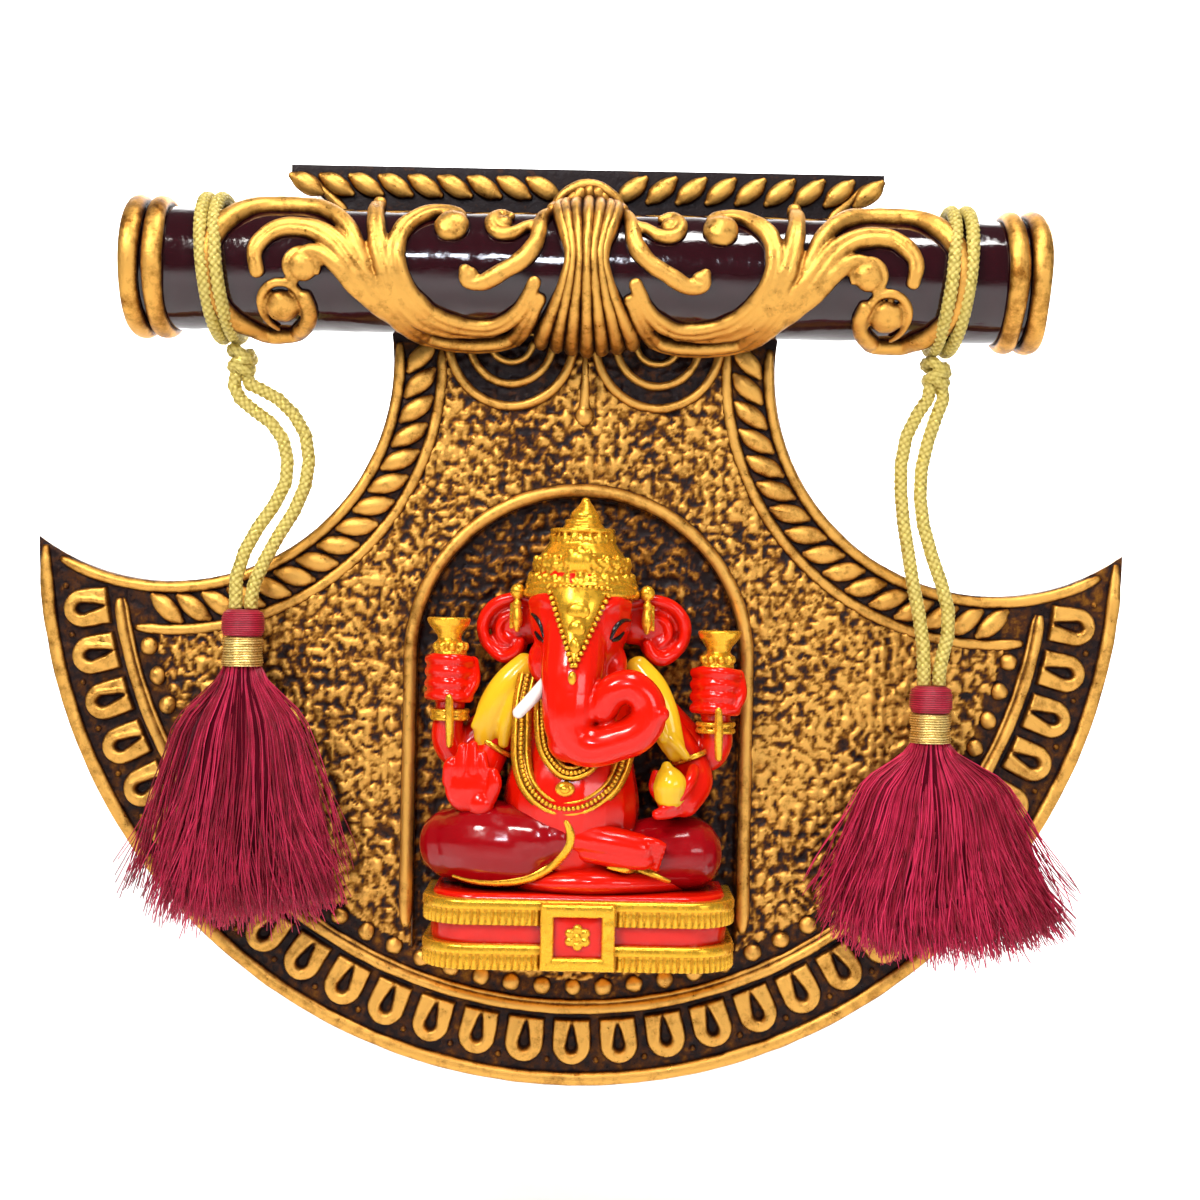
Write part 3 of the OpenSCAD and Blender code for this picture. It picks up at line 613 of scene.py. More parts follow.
def wound(centre, profile, pitch, depth, seed):
    # thread wound round a core; profile is (radius, along) and each turn stands up by depth
    rng = np.random.default_rng(seed)
    prof = np.asarray(profile, float)
    run = np.concatenate([[0], np.cumsum(np.linalg.norm(np.diff(prof, axis=0), axis=1))])
    want = np.linspace(0, run[-1], int(run[-1] / pitch * 7))
    r, z = np.interp(want, run, prof[:, 0]), np.interp(want, run, prof[:, 1])
    segments = 72
    a = turns(segments)
    slant = want[:, None] / pitch + a[None, :] / (2 * math.pi)
    ridge = np.abs(np.sin(math.pi * slant))
    uneven = 0.75 + 0.5 * rng.random(int(run[-1] / pitch) + 3)[np.floor(slant).astype(int)]
    rr = r[:, None] - depth + depth * ridge * np.minimum(uneven, 1)
    v = np.stack([rr * np.cos(a), rr * np.sin(a), np.repeat(z[:, None], segments, 1)],
                 -1).reshape(-1, 3)
    faces = ringFaces(len(want), segments) + endCaps(len(want), segments)
    # the tone is low in the grooves between turns and high on the ridges: painted shade, times a random
    # tone for each turn
    tone = (ridge * uneven).reshape(-1)
    return v + np.asarray(centre, float), faces, np.clip(tone, 0, 1)


def bellOut(side, t):       # how far a thread has spread at t of its length
    full, reach = side["bell"]
    return full * smoothstep(0, reach, t) + (1 - full) * t ** 1.1


def skirt(side, topH):
    rng = np.random.default_rng(side["seed"])
    verts, faces, tones = [], [], []
    steps = threadSpec["steps"]
    t = np.linspace(0, 1, steps)
    hx = side["head"][0]
    locks = rng.random((threadSpec["locks"], 4))
    for i in range(threadSpec["count"]):
        lock = locks[rng.integers(0, len(locks))]
        a = lock[0] * 2 * math.pi + rng.normal(0, threadSpec["spread"])
        reach = min(1.0, math.sqrt(max(0, lock[1] + rng.normal(0, 0.14))))
        startR = threadSpec["neck"] * math.sqrt(rng.random())
        stray = rng.random() < threadSpec["stray"]
        length = side["skirt"] * (0.96 + 0.09 * (lock[2] - 0.5) + rng.normal(0, 0.03))
        length = length * (threadSpec["strayLong"] if stray else 1)
        wideAt = side["half"] * (reach * (threadSpec["strayWide"] if stray else 1.0)) * math.cos(a)
        deepAt = threadSpec["deep"] * reach * math.sin(a)
        across = bellOut(side, t)
        x = hx + startR * math.cos(a) * (1 - across) + (wideAt + side["lean"]) * across
        y = tasselY + startR * math.sin(a) * (1 - across) * 0.9 + deepAt * across
        drop = np.sqrt(np.maximum(0, length ** 2 - (wideAt * 0.8) ** 2))
        h = topH - drop * t
        bend = threadSpec["wave"] * t * (0.4 + t)
        x = x + bend * (np.sin(t * (3 + 4 * lock[3]) + lock[0] * 9) + 0.7
                        * np.sin(t * 7 + rng.random() * 6.3))
        y = y + 0.4 * bend * np.sin(t * (2 + 4 * rng.random()) + rng.random() * 6.3)
        if stray:
            x = x + np.sign(wideAt + 0.01) * threadSpec["flick"] * t ** 3
        path = np.column_stack([x, np.clip(y, tasselY - 5.0, tasselY + 4.9), h])
        thick = threadSpec["thickness"] * (1 - 0.35 * t ** 3)
        v, f = sweep(path, thick, thick, (0, -1, 0.05), 3, roundEnds=False)
        verts.append(v)
        faces.append(f)
        tones.append(np.full(len(v), 0.22 + 0.45 * rng.random() + 0.33 * lock[2]))
    v, f = join(list(zip(verts, faces)))
    return v, f, np.concatenate(tones)


def core(side, topH):
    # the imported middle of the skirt, ribbed like the threads over it
    c = coreSpec
    rings, segments, n = [], c["segments"], c["rows"]
    for i in range(n):
        t = c["long"] * i / (n - 1)
        across = float(bellOut(side, t))
        closing = math.sqrt(1 - (t / c["closes"]) ** 8)
        rx = (c["neck"] + (side["half"] * c["wide"] - c["neck"]) * across) * closing
        ry = c["neck"] + (c["deep"] - c["neck"]) * across
        for k in range(segments):
            a = 2 * math.pi * k / segments
            rib = 1 + 0.05 * math.sin(23 * a + 2 * t) + 0.035 * math.sin(41 * a - 3 * t)
            drop = side["skirt"] * t * 0.95 * (1 - 0.06 * abs(math.cos(a)) * t)
            rings.append((side["head"][0] + side["lean"] * across + rx * rib * math.cos(a),
                          tasselY + ry * rib * math.sin(a), topH - drop))
    faces = [(i * segments + k, (i + 1) * segments + k, (i + 1) * segments + (k + 1) % segments,
              i * segments + (k + 1) % segments) for i in range(n - 1) for k in range(segments)]
    faces.append(tuple(range(segments)))
    faces.append(tuple((n - 1) * segments + k for k in range(segments - 1, -1, -1)))
    return np.array(rings), faces


maroonThread = threadMaterial("maroonThread", (0.035, 0.0002, 0.003), (0.28, 0.0008, 0.018),
                              (0.85, 0.03, 0.12))
# the core, given a low tone, is painted far darker than the threads over it: painted shade inside the
# skirt
shadedCoreThread = threadMaterial("shadedCoreThread", (0.05, 0.0002, 0.005), (0.1, 0.0004, 0.009),
                            (0.16, 0.001, 0.014))
shadedCoreThread.node_tree.nodes["Principled BSDF"].inputs["Specular IOR Level"].default_value = 0.05
headThread = threadMaterial("headThread", (0.04, 0.0005, 0.003), (0.24, 0.003, 0.016),
                            (0.5, 0.015, 0.045))
goldThread = metalThread()


def threadPiece(name, shape, tone, material, sideName, parts, slot="maroon_thread"):
    stands = [f"{sideName}_tassel_{part}" for part in parts]
    piece = make(f"{sideName}_tassel_{name}", shape, material, f"{sideName}_tassel", stands, slot)
    setLevel(piece, "tone", tone)


for sideName, side in tasselSpec.items():
    headLow, headHigh = boxOf(f"{sideName}_tassel_head")
    bandLow, bandHigh = boxOf(f"{sideName}_tassel_band")
    hx = side["head"][0]
    top, r = headHigh[2], (headHigh[0] - headLow[0]) / 2
    v, f, tone = wound((hx, tasselY, 0),
                       [(0.6, top - 0.1), (r - 1.2, top - 0.15), (r - 0.35, top - 0.7), (r, top - 1.8),
                                        (r, headLow[2] + 1.2), (r - 0.5, headLow[2] + 0.1),
                                          (1.0, headLow[2])],
                       0.42, 0.16, side["seed"])
    threadPiece("cap", (v, f), tone, headThread, sideName, ["head"])
    rb = (bandHigh[0] - bandLow[0]) / 2
    v, f, tone = wound((hx, tasselY, 0),
                       [(rb - 1, bandHigh[2]), (rb - 0.15, bandHigh[2] - 0.25), (rb, bandHigh[2] - 1),
                                        (rb - 0.3, (bandHigh[2] + bandLow[2]) / 2),
                                          (rb, bandLow[2] + 0.8),
                                        (rb - 0.2, bandLow[2] + 0.1), (rb - 1, bandLow[2])],
                       0.5, 0.2, side["seed"] + 5)
    threadPiece("binding", (v, f), tone, goldThread, sideName, ["band"], "metallic_thread")
    v, f, tone = skirt(side, bandLow[2] + 0.4)
    threadPiece("threads", (v, f), tone, maroonThread, sideName, ["skirt"])
    v, f = core(side, bandLow[2] + 0.2)
    threadPiece("core", (v, f), np.full(len(v), coreSpec["tone"]), shadedCoreThread, sideName, [])
for piece, sideName, route, run in strandPieces:
    tuple(toWorld(route[0]))
    [tuple(toWorld(p)) for p in route]
print("tassels tied")


blade = dict(notchR=44.0, notchX=82.0, notchH=35.0, topH=74.5, neckX=59.1, rimW=2.8, rimGap=1.2,
             petalL=9.6,
             petalW=7.8, relief=1.8, ridgeW=3.0, beadR=1.8, beadGap=2.4, edgeR=1.3, ropeW=5.2,
             nicheR=32.2,
             nicheH=-23.0, nicheD=2.5, nicheFloor=-81.3, archW=2.6, pebble=2.2, knock=0.95, cell=0.46,
             stir=1.1, swagX=14.6, swagW=12.4, swagH=13.6)
edgeOut = blade["notchR"] + blade["edgeR"]
ropeMid = blade["notchR"] + 2 * blade["edgeR"] + 0.3 + blade["ropeW"] / 2
edgeIn = ropeMid + blade["ropeW"] / 2 + 0.3 + blade["edgeR"]
petalIn = bladeR - blade["rimW"] - blade["rimGap"] - blade["petalL"]
ridgeOut = petalIn - 0.6
ridgeIn = ridgeOut - blade["ridgeW"]
beadRing = ridgeIn - 0.6 - blade["beadR"]
borderOut = edgeOut + blade["edgeR"] + 0.4
borderIn = edgeIn + blade["edgeR"] + 0.4
notchFar = math.hypot(blade["notchX"], blade["notchH"])
notchTurn = math.degrees(math.atan2(blade["notchH"], blade["notchX"]))
underRod, overRod = rodH - rodR - 1, rodH + rodR + 0.6


def acosd(v):
    return math.degrees(math.acos(v))


def bandStart(r, reach):
    return 360 + notchTurn - acosd((reach ** 2 - notchFar ** 2 - r ** 2) / (2 * r * notchFar))


def clearOfNotch(r, d):
    return acosd((r ** 2 + notchFar ** 2 - d ** 2) / (2 * r * notchFar)) - notchTurn


def bandAt(r, h):
    return 180 - math.degrees(math.asin((h - blade["notchH"]) / r))


def arc(r, start, end, centre=(0, 0), step=0.7):
    n = max(6, int(abs(math.radians(end - start)) * r / step))
    a = np.radians(np.linspace(start, end, n))
    return np.column_stack([centre[0] + r * np.cos(a), centre[1] + r * np.sin(a)])


def waver(points, amount, scale, seed=0):
    # small hand-made unevenness that is the same each run
    return np.array([noise.noise(Vector((p[0] * scale, p[1] * scale, p[2] * scale + seed)))
                     for p in points]) * amount


def drift(x, h, scale, seed=0):
    flat = np.column_stack([x.ravel(), h.ravel(), 0 * x.ravel()])
    return waver(flat, 1.0, scale, seed).reshape(x.shape)


def strip(path, profile, y, scale=None, wander=0.12, seed=0):
    # a moulding on the face: profile is (across, rise) and the path is (across, height)
    path = np.asarray(path, float)
    prof = np.asarray(profile, float)
    n, m = len(path), len(prof)
    along = directions(path)
    side = np.column_stack([-along[:, 1], along[:, 0]])
    scale = np.ones(n) if scale is None else np.asarray(scale, float)
    rise = waver(np.column_stack([path, np.zeros(n)]), wander * 2, 0.16, seed)
    shift = waver(np.column_stack([path, np.zeros(n)]), wander * 1.4, 0.22, seed + 7)
    verts = []
    for i in range(n):
        for dx, up in prof:
            across = dx * scale[i] * (1 + 0.5 * shift[i])
            verts.append((path[i, 0] + side[i, 0] * across, y - up * scale[i] * (1 + rise[i]),
                          path[i, 1] + side[i, 1] * across))
    return np.array(verts), gridFaces(n, m) + endCaps(n, m)


def halfRound(w, rise, steps=9, flat=1.0):
    a = np.linspace(0, math.pi, steps)
    return [(-w / 2 * math.cos(t), rise * math.sin(t) ** flat) for t in a]


def tapers(n, ends=4):
    s = np.ones(n)
    for k in range(ends):
        s[k] = s[-1 - k] = 0.45 + 0.55 * math.sin(math.pi / 2 * (k + 1) / (ends + 1))
    return s


def outlineGap(x, h):
    # how far inside the blade's outline a point is; below nothing is outside
    b = blade
    disk = bladeR - np.hypot(x, h)
    disk = np.where(h > 10, 99.0, disk)
    notch = np.hypot(np.abs(x) - b["notchX"], h - b["notchH"]) - b["notchR"]
    above = np.where(h > b["notchH"] - 2, b["neckX"] - np.abs(x), 99.0)
    return np.minimum(np.minimum(disk, notch), np.minimum(above, b["topH"] - h))


def pebbles(x, h, cell, seed):
    # distance to the nearest of a scatter of points, in cells
    table = np.random.default_rng(seed).random((400, 400, 2))
    gx, gh = x / cell + 200, h / cell + 200
    ix, ih = np.floor(gx).astype(int), np.floor(gh).astype(int)
    near = np.full(x.shape, 9.0)
    for dx in (-1, 0, 1):
        for dh in (-1, 0, 1):
            spot = table[(ix + dx) % 400, (ih + dh) % 400]
            d = np.hypot(gx - (ix + dx + 0.15 + 0.7 * spot[..., 0]),
                         gh - (ih + dh + 0.15 + 0.7 * spot[..., 1]))
            near = np.minimum(near, d)
    return near


def bladeFace():
    b = blade
    cell = b["cell"]
    xs = np.arange(-bladeR - cell, bladeR + 2 * cell, cell)
    hs = np.arange(-bladeR - cell, b["topH"] + 2 * cell, cell)
    x, h = np.meshgrid(xs, hs, indexing="ij")
    for _ in range(4):      # points just outside are pulled onto the outline
        gap = outlineGap(x, h)
        e = 0.05
        gx = (outlineGap(x + e, h) - outlineGap(x - e, h)) / (2 * e)
        gh = (outlineGap(x, h + e) - outlineGap(x, h - e)) / (2 * e)
        size = np.maximum(0.3, np.hypot(gx, gh))
        pull = (gap < 0.02) & (gap > -1.1 * cell)
        x = np.where(pull, x - gx / size ** 2 * (gap - 0.02), x)
        h = np.where(pull, h - gh / size ** 2 * (gap - 0.02), h)
    gap = outlineGap(x, h)
    inside = gap > -0.05
    r = np.hypot(x, h)
    notch = np.hypot(np.abs(x) - b["notchX"], h - b["notchH"])
    near = pebbles(x + b["stir"] * drift(x, h, 0.5, 31), h + b["stir"] * drift(x, h, 0.5, 47),
                   b["pebble"], 3)
    patch, small = drift(x, h, 0.055, 3), drift(x, h, 0.8, 9)
    billow = 0.62 * (np.abs(drift(x, h, 0.42, 61)) * 2.1) + 0.9 * np.abs(drift(x, h, 0.85, 73))
    knob = (1 - smoothstep(0.05, 0.75, near)) * 0.42 + 0.72 * np.minimum(billow, 1.1) + 0.16 * small
    field = ((r < beadRing - 1.5) & (notch > edgeIn + 0.8) & (h < underRod))
    inNiche = (np.where(h > b["nicheH"], np.hypot(x, h - b["nicheH"]),
                        np.abs(x)) < b["nicheR"]) & (h > b["nicheFloor"])
    rough = np.where(field, 1.0, 0.32)
    rise = b["knock"] * np.clip(knob, -0.1, 1) * rough
    panel = h > underRod
    rise = np.where(panel, 0.1 + 0.06 * small, rise)
    rise = rise * smoothstep(0.0, 0.8, gap)
    y = np.where(inNiche, frontY + b["nicheD"], frontY) - 0.06 - np.maximum(rise, 0)
    light = 0.16 + 0.84 * smoothstep(0.12, 0.72, knob + 0.34 * patch + 0.1 * small)
    gilt = np.where(field, light, 0.12 + 0.25 * light)
    # inside the niche the gilding is capped lower and darker: painted shade for the recessed niche
    gilt = np.where(inNiche, smoothstep(0.25, 0.85, knob + 0.3 * patch) * 0.68, gilt)
    gilt = np.where(panel, 0.0, gilt)
    across, down = (np.abs(x) - b["swagX"]) / b["swagW"], (h - underRod - 1.2) / b["swagH"]
    swagged = across ** 2 + down ** 2 < 1.0      # dark ground between the swags
    gilt = np.where(swagged, 0.15 * light, gilt)
    index = -np.ones(x.shape, int)
    index[inside] = np.arange(inside.sum())
    a, c, d, e = index[:-1, :-1], index[1:, :-1], index[1:, 1:], index[:-1, 1:]
    whole = (a >= 0) & (c >= 0) & (d >= 0) & (e >= 0)
    faces = np.column_stack([a[whole], c[whole], d[whole], e[whole]]).tolist()
    verts = np.column_stack([x[inside], y[inside], h[inside]])
    return verts, faces, gilt[inside]


v, f, gilt = bladeFace()
face = make("blade_face", (v, f), fieldGold)
setLevel(face, "gilt", gilt)
print("blade face hammered")


def plateGold():
    mat, tree, shader = newMaterial("plateGold")
    tone = blend(tree, grain(tree, 60.0, 4, 0.6), 0.7, grain(tree, 700.0, 4, 0.65), 0.5)
    drive(tree, shader, "Base Color", tone,
          [(0.35, (0.012, 0.004, 0.003)), (0.56, (0.1, 0.04, 0.012)), (0.75, (0.5, 0.27, 0.07))])
    drive(tree, shader, "Metallic", tone, [(0.45, 0.1), (0.75, 0.8)])
    drive(tree, shader, "Roughness", grain(tree, 900.0, 3), [(0.3, 0.28), (0.7, 0.5)])
    bump(tree, shader, tone, 0.5, 0.25)
    return mat


def zincSteel():
    mat, tree, shader = newMaterial("zincSteel")
    spangle = addNode(tree, "ShaderNodeTexVoronoi", Scale=260.0)
    tree.links.new(coords(tree), spangle.inputs["Vector"])
    drive(tree, shader, "Base Color", spangle.outputs["Distance"],
          [(0.1, (0.36, 0.37, 0.38)), (0.8, (0.6, 0.61, 0.62))])
    shader.inputs["Metallic"].default_value = 0.95
    drive(tree, shader, "Roughness", grain(tree, 700.0, 3), [(0.3, 0.28), (0.7, 0.45)])
    bump(tree, shader, grain(tree, 1400.0, 2, stretch=(1, 1, 12)), 0.3, 0.05)
    return mat


def finish(node, material):
    obj = bpy.data.objects[node]
    for k in range(max(1, len(obj.material_slots))):
        if k < len(obj.material_slots):
            obj.material_slots[k].material = material
        else:
            obj.data.materials.append(material)


# the plate and the hanger keep their CAD shapes, so only their finish changes
finish("blade_plate", plateGold())
steel = zincSteel()
finish("hanger_plate", steel)
finish("hanger_screws", steel)

def gild(name, parts, node, rise, keep, base=frontY, **more):
    # a moulding in rubbed gold
    return rub(make(name, join(parts), gilded, stands=[node], **more), base, rise, keep=keep)


# rim along the arc, flat-topped with an eased inner edge
rimMid = bladeR - blade["rimW"] / 2
rimPath = arc(rimMid, 181.2, 358.8)
rimProfile = [(-1.38, 0), (-1.3, 0.9), (-0.95, 1.35), (-0.2, 1.5), (0.6, 1.45), (1.1, 1.1), (1.38, 0.5),
              (1.4, 0)]
gild("arc_rim", [strip(rimPath, rimProfile, frontY, tapers(len(rimPath), 12), seed=1)], "blade_rim",
     1.2, 0.3)


def petal(turn, seed):
    # one horseshoe cell: flat end inwards, round end by the rim, a drop-shaped pit in its middle
    rng = np.random.default_rng(seed)
    w = blade["petalW"] / 2 * (1.02 + 0.05 * rng.random())
    l = blade["petalL"]
    us, vs = np.meshgrid(np.arange(-0.3, l + 0.31, 0.32), np.arange(-w - 0.3, w + 0.31, 0.32),
                         indexing="ij")
    wide = w * (0.95 + 0.05 * smoothstep(0, 5, us))
    edge = np.where(us < l - w, np.minimum(wide - np.abs(vs), us), w - np.hypot(us - (l - w), vs))
    pitU = l * 0.56 + 0.2 * rng.random()
    along = us - pitU
    pitW = 1.2 * np.where(along > 0, 1.0, np.clip(1 + along / 4.6, 0.02, 1) ** 0.8)
    pit = pitW - np.hypot(np.where(along > 0, along * 0.82, 0), vs)
    lipped = smoothstep(0.0, 0.6, edge)
    dome = 1 - 0.16 * (vs / w) ** 2
    hole = smoothstep(-0.3, 0.5, pit)
    rise = blade["relief"] * lipped * dome * (1 - 0.92 * hole)
    rise += 0.2 * np.exp(-((pit + 0.75) / 0.4) ** 2) * lipped
    a = math.radians(turn)
    r = petalIn + us
    x = r * math.cos(a) - vs * math.sin(a)
    h = r * math.sin(a) + vs * math.cos(a)
    rise += 0.09 * lipped * drift(x, h, 0.9)
    n, m = us.shape
    verts = np.stack([x, frontY - np.maximum(rise, -0.02), h], -1).reshape(-1, 3)
    keep = edge > -0.34
    inside = keep.ravel()
    faces = [f for f in gridFaces(n, m) if inside[list(f)].all()]
    used = sorted({i for f in faces for i in f})
    new = {old: k for k, old in enumerate(used)}
    gilt = (lipped ** 0.6 * (1 - smoothstep(-0.1, 0.5, pit))).reshape(-1)[used]
    return verts[used], [tuple(new[i] for i in f) for f in faces], gilt


petalMid = petalIn + blade["petalL"] / 2
first = clearOfNotch(petalIn + 1, borderOut) + math.degrees(math.asin(blade["petalW"] / 2 / petalIn))
petals = math.floor((180 - 2 * first)
                    / (2 * math.degrees(math.asin((blade["petalW"] / 2 + 0.7) / petalMid))))
petalStep = (180 - 2 * first) / petals
parts, gilts = [], []
for i in range(petals + 1):
    v, f, g = petal(180 + first + i * petalStep, 100 + i)
    parts.append((v, f))
    gilts.append(g)
for i in range(petals + 2):      # a small nub in each gap beside the rim
    a = math.radians(180 + first + (i - 0.5) * petalStep)
    r = petalIn + blade["petalL"] - 1.0
    v, f = blob((r * math.cos(a), frontY, r * math.sin(a)), (0.75, 0.75, 0.75), segments=10, rings=6)
    if outlineGap(np.array(r * math.cos(a)), np.array(r * math.sin(a))) > 2.5:
        parts.append((v, f))
        gilts.append(np.full(len(v), 0.55))
band = make("petal_border", join(parts), gilded, stands=["petal_band"])
setLevel(band, "gilt", np.concatenate(gilts))

ridgeMid = (ridgeIn + ridgeOut) / 2
first = clearOfNotch(ridgeMid, borderOut + blade["ridgeW"] / 2)
ridgePath = arc(ridgeMid, 180 + first, 360 - first)
ridgeProfile = [(-1.55, 0), (-1.5, 0.9), (-1.15, 1.5), (-0.4, 1.6), (0.2, 1.45), (0.42, 1.0),
                (0.62, 0.95), (0.8, 1.2),
                (1.2, 1.15), (1.5, 0.6), (1.55, 0)]
gild("arc_ridge", [strip(ridgePath, ridgeProfile, frontY, tapers(len(ridgePath)), seed=2)],
     "ridge_ring", 1.3, 0.25)

first = clearOfNotch(beadRing, borderIn + blade["beadR"])
beads = math.floor((180 - 2 * first)
                   / (2 * math.degrees(math.asin((blade["beadR"] + blade["beadGap"] / 2) / beadRing))))
parts = []
rng = np.random.default_rng(21)
for i in range(beads + 1):
    a = math.radians(180 + first + i * (180 - 2 * first) / beads)
    size = blade["beadR"] * (0.98 + 0.12 * rng.random(3))
    v, f = blob((beadRing * math.cos(a), frontY, beadRing * math.sin(a)), (size[0], size[1], size[2]))
    v = v + (v - v.mean(0)) * waver(v, 0.12, 0.7, i)[:, None]
    parts.append((v, f))
gild("arc_beads", parts, "bead_row", 1.0, 0.6)
print("arc borders laid")


def lobe(centre, tilt, length, wide, rise, y, bend=0.5):
    # one strand of a rope in relief, fat in the middle and bent like an s
    t = np.linspace(-1, 1, 13)
    along, across = t * length / 2, bend * np.sin(t * math.pi / 2) * np.abs(t)
    c, s = math.cos(tilt), math.sin(tilt)
    path = np.column_stack([centre[0] + along * c - across * s, np.full(13, y - rise * 0.28),
                            centre[1] + along * s + across * c])
    full = np.maximum(0.18, (1 - np.abs(t) ** 2.4)) ** 0.6
    return sweep(path, wide * full, 1.5 * rise * full, (0, -1, 0), 12)


rope = dict(pitch=5.3, tilt=-42, length=7.8, wide=4.1, rise=1.95, topPitch=5.6, topLength=7.2,
            topWide=4.0)
for sideName, s in (("left", -1), ("right", 1)):
    centre = (s * blade["notchX"], blade["notchH"])

    def turned(a):
        return a if s > 0 else 180 - a

    parts = []
    for r, reach in ((edgeOut, bladeR - blade["rimW"] - 1.5), (edgeIn, ridgeIn - 0.4)):
        path = arc(r, turned(bandAt(r, underRod)), turned(bandStart(r, reach)), centre)
        parts.append(strip(path, halfRound(2 * blade["edgeR"], 1.35 if r == edgeOut else 1.2), frontY,
                           tapers(len(path), 6),
                           seed=r))
    path = arc(edgeOut, turned(bandAt(edgeOut, blade["topH"] - 2)), turned(bandAt(edgeOut, overRod)),
               centre)
    parts.append(strip(path, halfRound(2.2, 1.2), frontY, tapers(len(path), 3), seed=3))
    gild(f"{sideName}_side_beads", parts, f"{sideName}_edge_beads", 1.1, 0.25)
    pitch = math.degrees(rope["pitch"] / ropeMid)
    start = bandAt(ropeMid, underRod) + pitch / 2
    count = math.floor((bandStart(ropeMid, ridgeIn) - 3 - start) / pitch)
    parts = []
    for i in range(count + 1):
        a = math.radians(turned(start + i * pitch))
        tilt = math.radians(turned(start + i * pitch) + s * rope["tilt"])
        spot = (centre[0] + ropeMid * math.cos(a), centre[1] + ropeMid * math.sin(a))
        parts.append(lobe(spot, tilt, rope["length"], rope["wide"], rope["rise"], frontY, -0.5 * s))
    gild(f"{sideName}_side_rope", parts, f"{sideName}_rope", 1.5, 0.05)

ropeH = blade["topH"] - 2 - blade["ropeW"] / 2
half = blade["neckX"] - 3.2
parts = []
count = int(2 * half / rope["topPitch"])
for i in range(count + 1):
    x = -half + i * 2 * half / count
    lean = 1 if x > 0 else -1
    if abs(x) < 3.5:
        continue
    parts.append(lobe((x, ropeH + 0.6), math.radians(35) * lean, rope["topLength"], rope["topWide"],
                      2.1, frontY, 0.4))
for s in (-1, 1):       # the rope turns down both flared ends
    for k in range(4):
        a = math.radians(bandAt(ropeMid, blade["topH"] - 9.0) + k * 6.0)
        spot = (s * (blade["notchX"] + (ropeMid - 0.6) * math.cos(a)),
                blade["notchH"] + (ropeMid - 0.6) * math.sin(a))
        if spot[1] > overRod + 0.5 and outlineGap(np.array(spot[0]), np.array(spot[1])) > 2.2:
            parts.append(lobe(spot, math.radians(90 - s * 50), 5.6, 2.8, 1.8, frontY, 0.3))
gild("top_rope_lobes", parts, "top_rope", 1.5, 0.05)

mid = blade["nicheR"] + 0.05 + blade["archW"] / 2
legs = blade["nicheFloor"] + 4.3
path = np.vstack([[(mid, h) for h in np.linspace(legs, blade["nicheH"] - 0.7, 70)],
                  arc(mid, 0, 180, (0, blade["nicheH"])),
                  [(-mid, h) for h in np.linspace(blade["nicheH"] - 0.7, legs, 70)]])
gild("niche_moulding",
     [strip(path, halfRound(2.9, 1.75, 11, 0.8), frontY, tapers(len(path), 5), seed=5)],
     "niche_arch", 1.3, 0.4)

swag = dict(centre=blade["swagX"], arcs=[(4.4, 4.6, 1.5), (8.4, 9.0, 1.7), (12.5, 13.4, 1.9)])
parts = []
for s in (-1, 1):
    for wide, deep, stroke in swag["arcs"]:
        t = np.linspace(0.04, math.pi - 0.04, 46)
        path = np.column_stack([s * swag["centre"] + wide * np.cos(t),
                                underRod + 1.2 - deep * np.sin(t)])
        parts.append(strip(path, halfRound(stroke * 1.15, 1.8), frontY, tapers(46, 3), seed=wide))
gild("hanging_swags", parts, "swags", 0.9, 0.15)

dropLow, dropHigh = boxOf("drop_pendant")
stemH = np.linspace(dropHigh[2], dropLow[2] + 3.4, 14)
stem = sweep(np.column_stack([0 * stemH + 0.2, 0 * stemH + frontY - 0.45, stemH]),
             np.linspace(1.3, 2.3, 14),
             np.linspace(1.2, 1.9, 14), (0, -1, 0))
ball = blob((0.2, frontY - 0.1, dropLow[2] + 2.0), (1.95, 1.75, 2.2))
gild("drop_bead", [stem, ball], "drop_pendant", 1.2, 0.3, melt=0.22, soften=3)
print("face mouldings laid")


handle = dict(endRound=2.2, sag=0.16, ringWide=4.1, ringRise=2.1, dish=1.1)


def rodShape():
    n, segments = 240, 96
    along = np.linspace(-rodHalf, rodHalf, n)
    edge = rodHalf - np.abs(along)
    easing = np.clip(1 - (1 - np.clip(edge / handle["endRound"], 0, 1)) ** 2, 0, 1)
    r = rodR - handle["endRound"] + handle["endRound"] * np.sqrt(easing)
    prof = [(0.05, -rodHalf + handle["dish"] + 0.3), (3.4, -rodHalf + handle["dish"]),
            (7.6, -rodHalf + 0.35)]
    prof += list(zip(r, along))
    prof += [(7.6, rodHalf - 0.35), (3.4, rodHalf - handle["dish"]),
             (0.05, rodHalf - handle["dish"] - 0.3)]
    v, f = lathe(prof, (0, rodY, rodH), "X", segments)
    out = v - np.array([0, rodY, rodH])
    out[:, 0] = 0
    size = np.linalg.norm(out, axis=1, keepdims=True) + 1e-9
    dent = waver(v, 1.0, 0.09, 4) + 0.5 * waver(v, 1.0, 0.25, 8)
    return v + out / size * (np.minimum(dent, 0.6) - 0.6)[:, None] * handle["sag"], f


make("lacquered_rod", rodShape(), lacquer, stands=["rod"], slot="maroon_lacquer")


def onRod(points, lift, count=60):
    # lays a drawn stroke (across, height from the axis) on the handle's front
    p = curvePoints(points, count)
    r = rodR + lift
    turn = np.arcsin(np.clip(p[:, 1] / r, -1, 1))
    y = rodY - r * np.cos(turn)
    return (np.column_stack([p[:, 0], y, rodH + p[:, 1]]),
            np.column_stack([0 * y, -np.cos(turn) - 0.15, np.sin(turn) * 0.85]))


